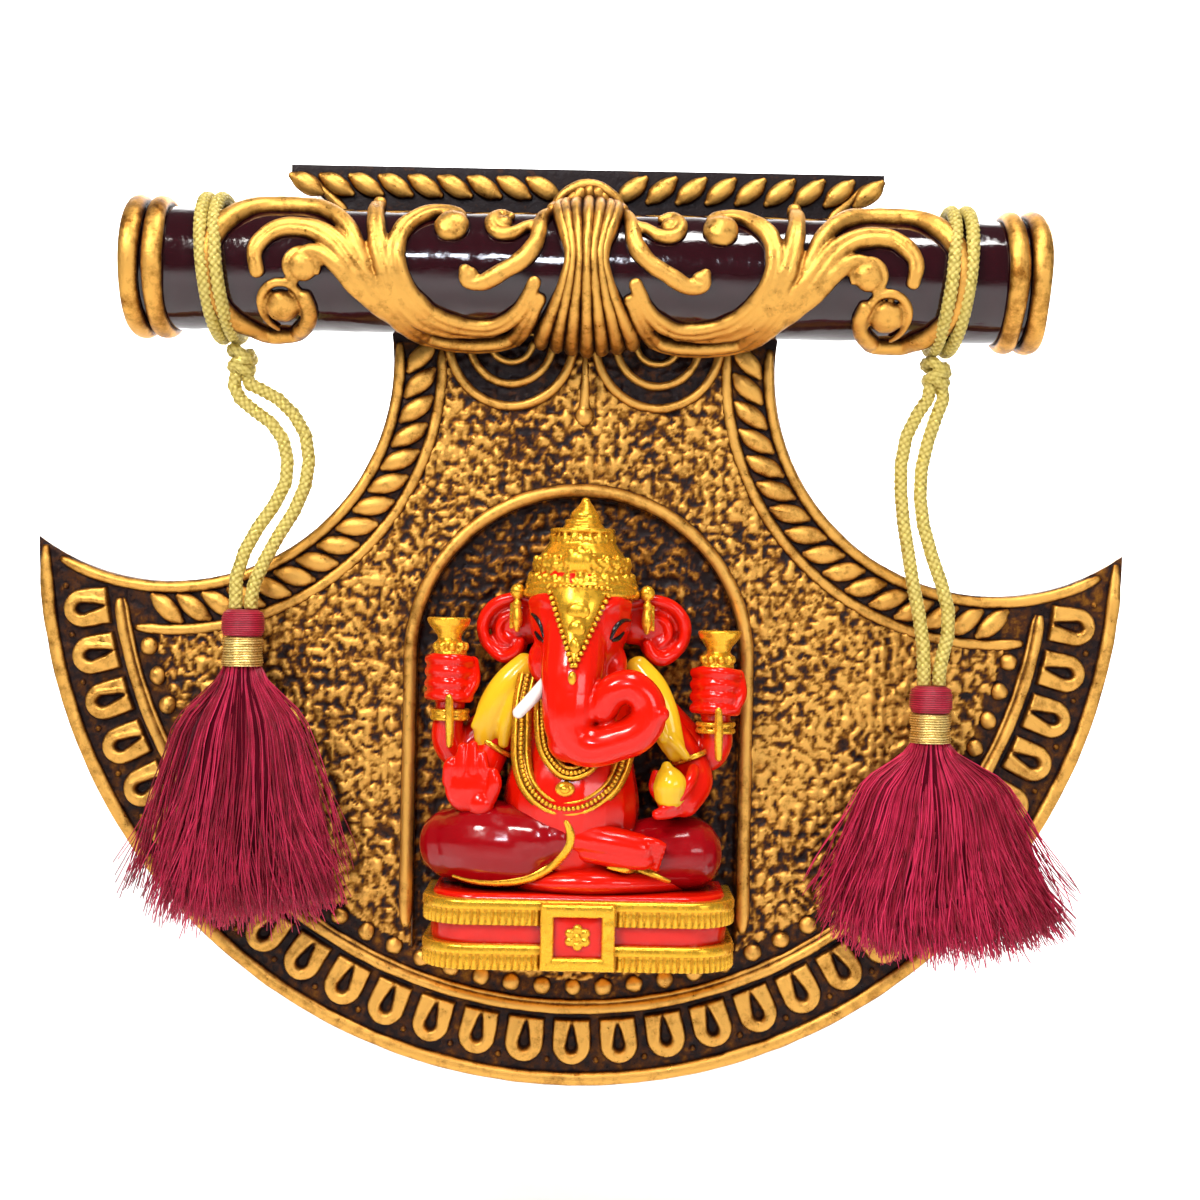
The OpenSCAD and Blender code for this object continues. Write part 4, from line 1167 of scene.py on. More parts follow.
def stroke(points, wide, tall=0.72, lift=0.5, groove=0.0, count=70, tip=0.5, side=1):
    # a modelled scroll stroke: full in its middle, thin at its ends, with a groove along its back
    path, up = onRod([(side * x, h) for x, h in points], lift, count)
    t = np.linspace(0, 1, count)
    wide = wide * scrolls["weight"]
    full = tip + (1 - tip) * np.sin(math.pi * np.clip(t, 0.02, 0.98)) ** 0.55
    full = full * (1 + waver(path, 0.12, 0.35, 5))
    sides = 16
    verts, faces = sweep(path, wide * full, wide * full * tall * 2 * 0.62, up, sides)
    if groove:
        rows = len(verts) // sides
        rings = verts.reshape(rows, sides, 3)
        centre = rings.mean(1, keepdims=True)
        a = turns(sides)
        dent = 1 - groove * np.exp(-((a - math.pi / 2) / 0.36) ** 2)
        verts = (centre + (rings - centre) * dent[None, :, None]).reshape(-1, 3)
    return verts, faces


scrolls = dict(
    weight=1.3,
    strokes=[
        dict(points=[(-41.6, -1.1), (-45.2, 6.4), (-50.4, 10.6), (-57.6, 11.4), (-65, 10.4),
                     (-70.4, 4.6), (-71.6, -3.2),
                     (-69, -9.6), (-64.4, -12.2), (-58.8, -12.8), (-54.6, -12), (-52.6, -9.8),
                     (-53.4, -7.0)],
             wide=3.3, tip=0.62),
        dict(points=[(-62.1, -2.5), (-62.4, 2.0), (-58.4, 5.9), (-52.4, 6.0), (-47.2, 3.2),
                     (-42.8, -2.2), (-38.2, -7.4),
                     (-34.2, -11.2), (-28.5, -13.2), (-19.5, -13.9), (-12.5, -12.0), (-8.6, -6.6)],
             wide=3.6, tip=0.5, groove=0.3),
        dict(points=[(-54.1, 0.9), (-51.2, 1.5), (-47.4, -0.6), (-44.2, -4.2), (-39.4, -8.4),
                     (-34.4, -11.8)],
             wide=2.9, tip=0.5),
        dict(points=[(-40.6, 13.6), (-40.4, 10.2), (-39.6, 5.2), (-38.2, -0.6), (-35.6, -6.4),
                     (-31.4, -10.2),
                     (-26, -11.6), (-18, -11.8)], wide=3.4, tip=0.55, groove=0.25),
        dict(points=[(-24.2, 7.0), (-24.6, 9.9), (-29.6, 10.4), (-34.4, 7.0), (-36.0, 1.5),
                     (-34.4, -4.4), (-30.4, -8.8),
                     (-25, -10.9), (-17.6, -11.2), (-12.4, -8.6), (-9.6, -3.6)], wide=3.1, tip=0.6,
             groove=0.3),
        dict(points=[(-6.6, 11.2), (-8.4, 9.4), (-9.4, 4.2), (-12.0, 0.6), (-15.8, -1.8), (-19.4, -3.8),
                     (-22.4, -3.6),
                     (-22.8, -1.4)], wide=2.7, tip=0.55),
        dict(points=[(-14.4, 9.6), (-16.6, 10.2), (-18.2, 8.2), (-17.0, 6.0), (-14.2, 5.8),
                     (-11.4, 7.4), (-8.6, 8.2)],
             wide=2.1, tip=0.6)],
    balls=[(-57.8, -8.4, 3.4, 2.2), (-53.6, -1.4, 2.9, 1.9), (-25.6, 7.2, 3.5, 2.1),
           (-16.0, 8.0, 1.9, 1.3),
           (-21.9, -2.6, 1.8, 1.2)],
    curls=[(-53.6, -1.4, 3.1, 1.2), (-57.8, -8.4, 4.0, 1.3)])
for sideName, s in (("left", 1), ("right", -1)):
    parts = []
    for one in scrolls["strokes"]:
        parts.append(stroke(one["points"], one["wide"], groove=one.get("groove", 0), tip=one["tip"],
                            side=s))
    for x, h, r, rise in scrolls["balls"]:
        path, up = onRod([(s * x, h), (s * x + 0.01, h)], 0.3, 2)
        spin = Vector((0, -1, 0)).rotation_difference(Vector(up[0])).to_matrix()
        v, f = blob((0, 0, 0), (r, rise, r * 0.96), spin)
        v = v * (1 + waver(v + path[0], 0.12, 0.5, 2))[:, None]
        parts.append((v + path[0], f))
    for x, h, r, wide in scrolls["curls"]:
        t = np.linspace(-0.4, 4.3, 30)
        parts.append(stroke([(x + r * math.cos(a), h + r * math.sin(a)) for a in t], wide * 1.1,
                            lift=0.5, count=40, side=s))
    gild(f"{sideName}_scrollwork", parts, f"{sideName}_scroll", 1.6, 0.35, None, melt=0.3, soften=2)

claspSpec = dict(flutes=[(-3, 5.6, 3.3, 8.6, 2.3), (-2, 4.2, 2.5, 5.6, 2.5), (-1, 2.2, 1.25, 2.7, 2.5),
                         (0, 0.2, 0.1, 0.3, 2.4),
                         (1, 2.4, 1.35, 3.2, 2.5), (2, 4.4, 2.6, 6.2, 2.5), (3, 5.8, 3.4, 9.2, 2.3)])
parts = []
for k, top, waist, foot, wide in claspSpec["flutes"]:
    s = -1 if k < 0 else 1
    pts = [(s * top * 0.55, 16.4 - 0.35 * k * k), (s * top, 13.4 - 0.5 * abs(k)),
           (s * (top * 0.75 + waist * 0.25), 8.8), (s * waist, 2.0),
           (s * (waist * 0.8 + foot * 0.2), -3.8), (s * (waist * 0.4 + foot * 0.6), -9.0),
           (s * foot, -12.8 - 0.4 * (3 - abs(k)))]
    path, up = onRod([(x + 0.2, h) for x, h in pts], 0.9 + 0.25 * (3 - abs(k)), 60)
    t = np.linspace(0, 1, 60)
    full = np.interp(t, [0, 0.3, 0.55, 0.75, 1],
                     [1.1, 1.05, 0.78, 1.0, 1.35]) + waver(path, 0.1, 0.4, k)
    parts.append(sweep(path, wide * full, 3.4 * np.maximum(full, 0.8), up, 14))
hood, _ = onRod([(-6.6, 11.6), (-5.2, 15.0), (-2.4, 17.2), (0.2, 17.8), (2.8, 17.2), (5.6, 15.0),
                 (7.0, 11.6)], 1.0, 40)
parts.append(sweep(hood, 2.4, 2.4, (0, -1, 0.1), 12))
gild("gathered_leaf", parts, "leaf_clasp", 1.6, 0.4, None)

for sideName, s in (("left", -1), ("right", 1)):
    ringLow, ringHigh = boxOf(f"{sideName}_end_rings")
    parts = []
    outer = max(abs(ringLow[0]), abs(ringHigh[0]))
    for i in (0, 1):
        at = s * (outer - handle["ringWide"] / 2 - 0.05 - i * (handle["ringWide"] + 0.35))
        turn = turns(160)
        r = rodR + 0.5 + 0.16 * np.sin(2 * turn + i) + 0.12 * np.sin(5 * turn + 2 * i)
        path = np.column_stack([at + 0.14 * np.sin(turn * 3 + i), rodY - r * np.cos(turn),
                                rodH + r * np.sin(turn)])
        wide = handle["ringWide"] * (0.94 + 0.05 * np.sin(3 * turn + i))
        up = np.column_stack([0 * turn, -np.cos(turn), np.sin(turn)])
        parts.append(sweep(path, wide, 2 * (handle["ringRise"] - 0.75), up, 18, closed=True))
    piece = make(f"{sideName}_bands", join(parts), gilded, stands=[f"{sideName}_end_rings"])
    setLevel(piece, "gilt", 0.9 + 0.3 * waver(coordsOf(piece), 1, 0.2, 6))
print("handle dressed")


seatLow, seatHigh = boxOf("pedestal")
lowerLow, lowerHigh = boxOf("pedestal_lower_band")
plaqueLow, plaqueHigh = boxOf("pedestal_plaque")
figureX = (seatLow[0] + seatHigh[0]) / 2
figureH = lowerLow[2]
floorY = frontY + blade["nicheD"]
seatUp = seatHigh[2] - figureH


def at(p):      # (across, out, up) of the figure to (x, y, h)
    return (figureX + p[0], floorY - p[1], figureH + p[2])


def limb(points, flat=1.0, count=None, sides=18):
    # points are (across, out, up, radius); flat squeezes the section from front to back
    p = curvePoints(points, count or 10 * len(points))
    path = np.array([at(q) for q in p])
    along = directions(path, 1e-9)
    ref = np.array([0.0, -1.0,
                    0.0]) if np.mean(np.abs(along[:, 1])) < 0.75 else np.array([0.0, 0.0, 1.0])
    return sweep(path, 2 * p[:, 3], 2 * p[:, 3] * flat, ref, sides)


def bead(p, radii, tilt=0.0, segments=18):
    spin = Matrix.Rotation(tilt, 3, "Y") if tilt else None
    if isinstance(radii, (int, float)):
        radii = (radii, radii, radii)
    return blob(at(p), radii, spin, segments, 12)


def limbs(strokes, flat=1.0, count=None):
    return [limb(points, flat, count) for points in strokes]


slots = dict(vermilionEnamel="vermilion_paint", crimsonEnamel="crimson_paint",
             yellowEnamel="yellow_paint",
             whiteEnamel="white_paint", brightGold="bright_gold_paint", blackEnamel="vermilion_paint")


def painted(name, parts, material, node=None, melt=0.0, soften=0):
    return make(name, join(parts), material, "plaque", [node] if node else [], slots[material.name],
                melt, soften)


def figurePiece(name, parts, material, node, melt=0.36, soften=5):
    # a modelled piece; nothing of it reaches behind the niche's floor
    piece = painted(f"figure_{name}", parts, material, node, melt, soften)
    world = coordsOf(piece)
    world[:, 1] = np.minimum(world[:, 1], floorY - 0.1)
    world *= mm
    world[:, 2] += arcZ
    piece.data.vertices.foreach_set("co", world.ravel())
    piece.data.update()
    return piece


def goldPaint(name, tone, rough=0.28):
    mat, tree, shader = newMaterial(name)
    # the paint darkens to brown where the occlusion finds a hollow: painted shade
    exposed = shelter(tree, 1.3, 6)
    mix = blend(tree, exposed, 0.8, grain(tree, 600.0, 3, 0.6), 0.35)
    drive(tree, shader, "Base Color", mix,
          [(0.2, (0.16, 0.035, 0.002)), (0.55, tone[0]), (0.95, tone[1])])
    shader.inputs["Metallic"].default_value = 0.72
    drive(tree, shader, "Roughness", grain(tree, 900.0, 3), [(0.3, rough * 0.7), (0.7, rough * 1.6)])
    bump(tree, shader, calc(tree, "ADD", grain(tree, 1500.0, 3),
                            calc(tree, "MULTIPLY", grain(tree, 420.0, 3), 1.5)), 0.2, 0.08)
    return mat


brightGold = goldPaint("brightGold", ((0.45, 0.17, 0.005), (0.92, 0.48, 0.03)), 0.24)

# pedestal: a red block with rounded front corners between two fluted gold bands
pedestalSpec = dict(corner=9.0, inset=1.6, flute=1.3, groove=0.42, fillet=1.5, band=4.8, upper=8.4)
seatHalf = (lowerHigh[0] - lowerLow[0]) / 2
seatDeep = floorY - lowerLow[1]


def seatPath(inset, step=0.28):
    # the pedestal's plan, left to right round its front, with a normal at each point
    w, d, r = seatHalf - inset, seatDeep - inset, pedestalSpec["corner"]
    pts, out = [], []
    for y in np.arange(0.1, d - r, step):
        pts.append((-w, y))
        out.append((-1, 0))
    for a in np.linspace(0, math.pi / 2, int(r * 1.57 / step)):
        pts.append((-w + r - r * math.cos(a), d - r + r * math.sin(a)))
        out.append((-math.cos(a), math.sin(a)))
    for x in np.arange(-w + r + step, 0, step):
        pts.append((x, d))
        out.append((0, 1))
    pts, out = np.array(pts), np.array(out)
    return np.vstack([pts, (pts * [-1, 1])[::-1]]), np.vstack([out, (out * [-1, 1])[::-1]])


def seatBand(low, inset, height, profile, flutes):
    # profile is (up, stand-off, how deep the flutes cut there)
    plan, out = seatPath(inset)
    run = lengths(plan)
    wave = np.abs(np.sin(math.pi * run / pedestalSpec["flute"])) if flutes else np.ones(len(run))
    prof = np.array(profile, float)
    n, m = len(plan), len(prof)
    rows = []
    for up, off, cut in prof:
        stand = off - cut * (1 - wave) * pedestalSpec["groove"] * 1.6
        rows.append(np.column_stack([figureX + plan[:, 0] + out[:, 0] * stand,
                                     floorY - plan[:, 1] - out[:, 1] * stand,
                                     np.full(n, figureH + low + up * height)]))
    verts = np.stack(rows, 1).reshape(-1, 3)
    verts[:, 1] = np.minimum(verts[:, 1], floorY - 0.06)
    faces = [(i * m + k, (i + 1) * m + k, (i + 1) * m + k + 1, i * m + k + 1) for i in range(n - 1)
             for k in range(m - 1)]
    for k in (0, m - 1):        # flat top and bottom, joined across the middle
        ring = [i * m + k for i in range(n)]
        for i in range(n // 2 - 1):
            quad = (ring[i], ring[i + 1], ring[n - 2 - i], ring[n - 1 - i])
            faces.append(quad if k else quad[::-1])
    return verts, faces


blockProfile = [(0, -0.6, 0), (0.02, 0, 0), (0.3, 0.1, 0), (0.5, 0.35, 0), (0.7, 0.1, 0), (0.93, 0, 0),
                (0.97, -0.15, 0), (0.995, -0.5, 0), (1.0, -1.4, 0), (1.0, -5.5, 0)]
block = seatBand(0.3, pedestalSpec["inset"] + 0.2, seatUp - 0.3, blockProfile, False)
painted("pedestal_block", [block], vermilion, "pedestal")
bandProfile = [(0, -1.3, 0), (0, -0.25, 0.3), (0.05, -0.05, 1), (0.3, 0.0, 1), (0.52, -0.05, 1),
               (0.6, -0.2, 0.6),
               (0.64, 0.0, 0.0), (0.7, 0.0, 0), (0.88, 0.02, 0), (0.96, -0.14, 0), (1, -0.5, 0),
               (1, -1.6, 0)]
for name, low in (("lower", 0.0), ("upper", pedestalSpec["upper"])):
    moulding = seatBand(low, 0.05, pedestalSpec["band"], bandProfile, True)
    painted(f"pedestal_{name}_moulding", [moulding], brightGold, f"pedestal_{name}_band")

frameSpec = dict(border=2.5, floor=1.35)


def framePlaque():
    lowX, highX, lowH, highH = plaqueLow[0], plaqueHigh[0], plaqueLow[2], plaqueHigh[2]
    front, back, b = plaqueLow[1], plaqueHigh[1], frameSpec["border"]
    cx, ch, w, t = (lowX + highX) / 2, (lowH + highH) / 2, (highX - lowX) / 2, (highH - lowH) / 2
    steps = [(0, back), (0, front + 0.6), (0.18, front + 0.18), (0.55, front), (b * 0.5, front + 0.12),
             (b - 0.55, front),
             (b - 0.2, front + 0.15), (b, front + 0.5), (b + 0.05, front + frameSpec["floor"])]
    rows, per = [], 24
    for inset, y in steps:
        ring = []
        for sx, sh, ex, eh in ((-1, -1, 1, -1), (1, -1, 1, 1), (1, 1, -1, 1), (-1, 1, -1, -1)):
            for k in range(per):
                q = k / per
                ring.append((cx + (sx + (ex - sx) * q) * (w - inset), y,
                             ch + (sh + (eh - sh) * q) * (t - inset)))
        rows.append(ring)
    v = np.array(rows).reshape(-1, 3)
    v = v + np.column_stack([waver(v, 0.07, 0.6, 1), waver(v, 0.09, 0.6, 2), waver(v, 0.07, 0.6, 3)])
    v[:, 1] = np.maximum(v[:, 1], front)
    n = 4 * per
    f = ringFaces(len(steps), n) + endCaps(1, n)[:1]
    return (v, f), [tuple(p) for p in v[-n:]]


frameShape, recess = framePlaque()
painted("pedestal_frame", [frameShape], brightGold, "pedestal_plaque")
mid = np.mean(recess, axis=0)
sheet, n = [], 12
for i in range(n + 1):
    for k in range(n + 1):
        q, w = i / n * 2 - 1, k / n * 2 - 1
        edge = max(abs(q), abs(w))
        x = mid[0] + q * (max(p[0] for p in recess) - mid[0])
        h = mid[2] + w * (max(p[2] for p in recess) - mid[2])
        sheet.append((x, mid[1] - 0.12 * (1 - edge ** 4), h))
faces = [(i * (n + 1) + k, (i + 1) * (n + 1) + k, (i + 1) * (n + 1) + k + 1, i * (n + 1) + k + 1)
         for i in range(n) for k in range(n)]
painted("pedestal_recess", [(np.array(sheet), faces)], vermilion)
parts = [blob((mid[0], mid[1] - 0.35, mid[2]), (0.85, 0.65, 0.85))]
for i in range(6):
    a = math.radians(60 * i + 30)
    parts.append(blob((mid[0] + 1.7 * math.cos(a), mid[1] - 0.25, mid[2] + 1.6 * math.sin(a)),
                      (0.95, 0.6, 0.9)))
painted("pedestal_flower", parts, brightGold, "pedestal_rosette", 0.14, 2)
print("pedestal built")


def skinOf(*names):     # the surface of finished pieces, to lay ornament on
    shapes = []
    for name in names:
        obj = bpy.data.objects[name]
        shapes.append(([v.co.copy() for v in obj.data.vertices],
                       [tuple(p.vertices) for p in obj.data.polygons]))
    verts, faces = [], []
    for v, f in shapes:
        faces += [tuple(i + len(verts) for i in face) for face in f]
        verts += v
    return BVHTree.FromPolygons(verts, faces)


def lies(tree, x, up, lift=0.0):    # the figure point on the skin straight behind (x, up)
    start = toWorld(at((x, 60, up)))
    hit = tree.ray_cast(start, Vector((0, 1, 0)))[0]
    return (x, (floorY - hit.y / mm) + lift, up) if hit else (x, 8.0, up)


def laid(tree, points, lift=0.0):   # (across, up, radius) strokes laid on the skin
    return [(*lies(tree, x, up, lift), r) for x, up, r in curvePoints(points, 6 * len(points))]


body = dict(
    torso=[[(-1.6, 9.6, 23, 12.6), (-1.8, 11.0, 31, 13.2), (-1.4, 9.5, 40, 11.4), (-0.6, 8.4, 48, 9.8),
            (0, 7.6, 54, 8.6)],
           [(-12.2, 6.2, 50.5, 4.8), (-5, 7.2, 53, 5.4), (5, 7.2, 53, 5.4), (13, 6.2, 50.5, 4.8)]],
    foot=[[(-4.0, 17.5, 25.4, 3.9), (1.2, 19.4, 24.6, 3.4), (6.5, 20.4, 23.8, 3.1),
           (11.2, 20.4, 22.9, 2.9)],
          [(1.5, 19.5, 22.2, 2.4), (8, 20.8, 21.2, 2.2), (12.2, 20.6, 20.8, 2.0)]],
    leftThigh=[[(-24.4, 11, 22.0, 7.0), (-18.5, 13.6, 22.4, 8.6), (-11, 14.6, 21.8, 7.9),
                (-3.6, 12.6, 20.8, 6.4)],
               [(-12, 15.4, 23.4, 7.4), (-6.8, 18.2, 24.0, 5.6), (-4.6, 19.0, 24.4, 4.2)]],
    rightThigh=[[(20.2, 10.6, 20.8, 7.6), (14, 11.4, 20.6, 7.2), (6.5, 10.4, 19.4, 6.0)]])
figurePiece("torso", limbs(body["torso"], 0.92)
            + [bead((-2.0, 14.8, 34.0), (8.6, 7.4, 6.6))], vermilion, "torso")
toes = []
for i in range(5):
    toes.append(limb([(11.6, 21.2 - 0.4 * i, 24.4 - 1.15 * i, 1.15 - 0.07 * i),
                      (14.2, 21.3 - 0.4 * i, 24.1 - 1.15 * i, 1.0 - 0.06 * i),
                      (15.8 - 0.3 * i, 20.9 - 0.4 * i, 23.5 - 1.1 * i, 0.8)]))
figurePiece("foot", limbs(body["foot"]) + toes, vermilion, "folded_foot", 0.3, 3)
figurePiece("left_thigh", limbs(body["leftThigh"]), crimson, "left_thigh", 0.45, 8)
figurePiece("right_thigh", limbs(body["rightThigh"]), crimson, "right_thigh", 0.45, 8)
# the cloth pooled between the knees, over the seat
figurePiece("lap_cloth",
            [limb([(-14, 12, 15.6, 2.4), (-6, 17, 15.8, 2.5), (3, 18.6, 16.2, 2.7), (12, 16, 15.8, 2.4),
                                       (19, 12, 15.4, 2.0)], 1.5),
                                 limb([(-4, 14, 19.0, 4.0), (4, 15.5, 18.8, 4.0), (9, 14, 18.4, 3.4)])],
            vermilion, None)
clothSkin = skinOf("figure_left_thigh", "figure_right_thigh", "figure_lap_cloth", "figure_foot",
                   "figure_torso")


def evened(path):
    # each inner point drawn towards the mean of its neighbours
    points = np.array(path, float)
    for i in range(3):
        points[1:-1] = 0.5 * points[1:-1] + 0.25 * (points[:-2] + points[2:])
    return [tuple(point) for point in points]


hems = [[(-2.6, 28.0, 0.5), (-1.6, 25.6, 0.9), (-2.4, 22.8, 1.0), (-5.4, 19.2, 1.0), (-9.6, 16.9, 0.95),
         (-14.8, 15.9, 0.8),
         (-19.6, 15.9, 0.65), (-24.0, 16.6, 0.4)],
        [(5.6, 19.4, 0.5), (9.6, 19.0, 0.9), (13.4, 17.8, 0.9), (17.2, 16.3, 0.6)]]
painted("figure_hems", [limb(evened(laid(clothSkin, p, -0.1)), 0.7, 60, 12) for p in hems], brightGold)

head = dict(
    skull=[[(-0.8, 10.6, 72, 9.6), (-0.8, 12.4, 66.5, 10.2), (-1.0, 14.0, 61.5, 8.8),
            (-1.4, 15.2, 57.5, 6.6)]],
    brows=[[(-9.4, 15.2, 69.2, 1.5), (-7.0, 18.4, 69.6, 1.7), (-4.6, 20.2, 68.2, 1.3)],
           [(7.9, 15.2, 68.8, 1.5), (5.6, 18.4, 69.2, 1.7), (3.3, 20.2, 67.8, 1.3)]],
    bridge=[[(-1.6, 14.6, 67.5, 6.4), (-1.7, 18.4, 61.5, 6.2), (-2.0, 21.2, 55.5, 5.95),
             (-2.1, 22.4, 51.4, 5.6)]],
    trunk=[[(-2.0, 21.3, 55.0, 5.9), (-2.2, 22.7, 49.8, 5.5), (-2.0, 23.2, 45.6, 4.9),
            (-0.2, 23.5, 43.0, 4.4),
            (3.0, 24.0, 42.4, 4.0), (6.6, 24.5, 43.4, 3.8), (10.2, 24.9, 44.8, 3.7),
            (12.3, 25.1, 47.6, 3.5),
            (12.0, 25.2, 51.2, 3.3), (9.0, 25.3, 53.7, 3.3), (5.6, 25.1, 52.6, 3.2),
            (4.0, 24.4, 49.6, 3.0)],
           [(9.6, 24.2, 46.2, 2.6), (12.6, 25.6, 47.6, 2.6), (14.9, 26.6, 48.8, 1.5)]])
figurePiece("head", limbs(head["skull"]) + limbs(head["brows"])
            + limbs(head["bridge"]) + [bead((-7.4, 14.5, 57.8), (3.4, 3.4, 4.6)),
                                       bead((5.4, 14.2, 57.4), (3.2, 3.4, 4.4))],
            vermilion, "head", 0.36, 9)
figurePiece("trunk", limbs(head["trunk"], 1.0, 90) + [bead((-2.2, 22.6, 43.0), (4.3, 4.2, 4.0))],
            vermilion, "trunk", 0.33, 4)


def ear(s):
    # a broad folded leaf: raised rim, hollow middle and a curled lobe
    c = (16.0 * s - 0.2, 6.6, 64.0)
    rim = [(9.2 * s, 9.4, 69.4, 1.1), (13.2 * s, 9.2, 70.0, 1.15), (17.2 * s, 8.6, 68.8, 1.25),
           (19.6 * s, 8.0, 65.8, 1.3),
           (19.7 * s, 7.9, 62.4, 1.2), (18.0 * s, 8.3, 59.8, 1.2), (15.6 * s, 8.9, 58.4, 1.35),
           (13.4 * s, 9.6, 59.2, 1.4),
           (12.4 * s, 10.0, 61.4, 1.0)]
    leaf = [limb([(9 * s, 7.6, 65.6, 4.4), (13.4 * s, 6.6, 65.2, 4.6), (16.4 * s, 6.0, 63.8, 3.8)],
                 0.55),
            bead((14.8 * s, 6.4, 61.4), (3.9, 2.4, 3.6)), bead((14.2 * s, 6.4, 67.0), (4.8, 2.2, 3.2)),
            limb(rim, 1.1, 70)]
    fold = limb([(13.6 * s, 8.6, 66.8, 0.7), (16.2 * s, 8.4, 65.4, 0.9), (16.6 * s, 8.3, 62.8, 0.8),
                 (15.0 * s, 8.5, 61.0, 0.6)], 1, 30)
    return leaf + [fold]


figurePiece("left_ear", ear(-1), vermilion, "left_ear", 0.34, 3)
figurePiece("right_ear", ear(1), vermilion, "right_ear", 0.34, 3)
figurePiece("tusk", [limb([(-6.4, 20.8, 54.6, 1.35), (-8.8, 22.6, 51.8, 1.3),
                           (-11.9, 23.4, 48.4, 1.15)])], whiteEnamel,
            "tusk", 0.2, 1)
print("head formed")

# crown: a floral ring, a waist, a flat second tier and a bud
crownSpec = dict(centre=(-0.6, 10),
                 tiers=[(10.2, 72.8, 12, 1.6), (9.3, 76.2, 11, 1.75), (6.4, 81.2, 11, 1.05)], petals=5)
crownParts = [limb([(-0.6, 10.4, 71.6, 10.3), (-0.6, 10, 74.0, 9.4)], 1, 20, 30),
              bead((-0.6, 10, 76.0), (8.6, 8.6, 4.6)),
              bead((-0.6, 10, 79.4), (5.6, 5.6, 2.4)), bead((-0.5, 10, 81.6), (6.2, 6.2, 2.0)),
              bead((-0.4, 10, 83.6), (4.2, 4.2, 1.7)),
              limb([(-0.3, 10, 84.6, 2.4), (-0.2, 10, 86.2, 2.9), (-0.1, 10, 87.6, 1.9),
                    (-0.1, 10, 88.9, 0.9)])]
rng = np.random.default_rng(8)
crownX, crownOut = crownSpec["centre"]
for r, up, count, size in crownSpec["tiers"]:
    for i in range(2 * count):
        a = math.pi * (i + 0.5 * (up > 75)) / count
        if math.sin(a) < -0.1:
            continue
        s = size * (0.85 + 0.3 * rng.random())
        spot = (crownX + (r - 0.3) * math.cos(a), crownOut + (r - 0.3) * math.sin(a),
                up + 0.5 * rng.random())
        crownParts.append(bead(spot, (s * 0.55, s * 0.55, s * 0.55), 0, 10))
        for k in range(crownSpec["petals"]):
            b = 2 * math.pi * (k + rng.random() * 0.3) / crownSpec["petals"]
            dx, du = 0.72 * s * math.cos(b), 0.72 * s * math.sin(b)
            crownParts.append(bead((spot[0] - dx * math.sin(a), spot[1] + dx * math.cos(a) - 0.1,
                                    spot[2] + du),
                                   (s * 0.42, s * 0.42, s * 0.42), 0, 8))
for r, up, thick in ((10.5, 71.0, 1.05), (10.5, 72.4, 0.6), (7.2, 79.0, 0.5), (5.9, 83.2, 0.5),
                     (3.1, 85.0, 0.5)):
    ring = np.array([at((crownX + r * math.cos(a), crownOut + r * math.sin(a), up)) for a in turns(90)])
    crownParts.append(sweep(ring, 2 * thick, 2 * thick, (0, 0, 1), 10, closed=True))
crownParts.append(bead((-1.0, 19.4, 77.2), (2.6, 1.3, 2.4)))
for i in range(8):
    a = 2 * math.pi * i / 8
    crownParts.append(bead((-1.0 + 2.4 * math.cos(a), 19.2, 77.2 + 2.3 * math.sin(a)), 0.8, 0, 8))
figurePiece("crown", crownParts, brightGold, "crown", 0.22, 0)

# forehead plate: a triangle with beaded edges and a drop
triangle = [(-7.0, 72.4), (5.2, 72.0), (-1.7, 56.8)]
plateParts, n = [], 22
faceSkin = skinOf("figure_head", "figure_trunk")


def brow(x, up):
    return lies(faceSkin, x, up)[1]


rows = []
for i in range(n + 1):
    q = i / n
    left = np.array(triangle[0]) * (1 - q) + np.array(triangle[2]) * q
    right = np.array(triangle[1]) * (1 - q) + np.array(triangle[2]) * q
    for k in range(13):
        w = k / 12
        p = left * (1 - w) + right * w
        rise = 0.8 * math.sin(math.pi * w) ** 0.5 * (1 - q ** 6)
        rows.append(at((p[0], brow(p[0], p[1]) + rise - 0.15, p[1])))
plateParts.append((np.array(rows), gridFaces(n + 1, 13)))
for a, b, count in ((triangle[0], triangle[2], 15), (triangle[1], triangle[2], 14),
                    (triangle[0], triangle[1], 11)):
    for i in range(count):
        q = (i + 0.3) / count
        x, up = a[0] * (1 - q) + b[0] * q, a[1] * (1 - q) + b[1] * q
        plateParts.append(bead((x, brow(x, up) + 0.35, up), (0.55, 0.5, 0.5), 0, 8))
plateParts.append(bead((-1.9, brow(-1.9, 55.4) + 0.1, 55.2), (0.8, 0.7, 1.3)))
for i in range(3):      # raised leaves down its middle
    plateParts.append(bead((-1.0 - 0.25 * i, brow(-1, 67.5 - 3.2 * i) + 0.5, 67.6 - 3.3 * i),
                           (2.2 - 0.55 * i, 0.7, 1.7), 0, 14))
painted("forehead_plate", plateParts, brightGold)

eyes = []
for line in ([(-10.0, 66.9, 0.25), (-9.0, 66.1, 0.45), (-8.1, 64.6, 0.45), (-7.6, 62.7, 0.25)],
             [(8.9, 66.0, 0.25), (7.4, 65.9, 0.45), (6.0, 64.6, 0.5), (5.2, 62.6, 0.28)],
             [(-9.2, 63.4, 0.3), (-8.4, 62.4, 0.5), (-7.7, 61.8, 0.3)],
             [(7.6, 63.6, 0.3), (6.6, 62.6, 0.5), (5.6, 62.2, 0.3)]):
    eyes.append(limb(laid(faceSkin, line, 0.05), 1, 24, 10))
painted("figure_eyes", eyes, blackEnamel)

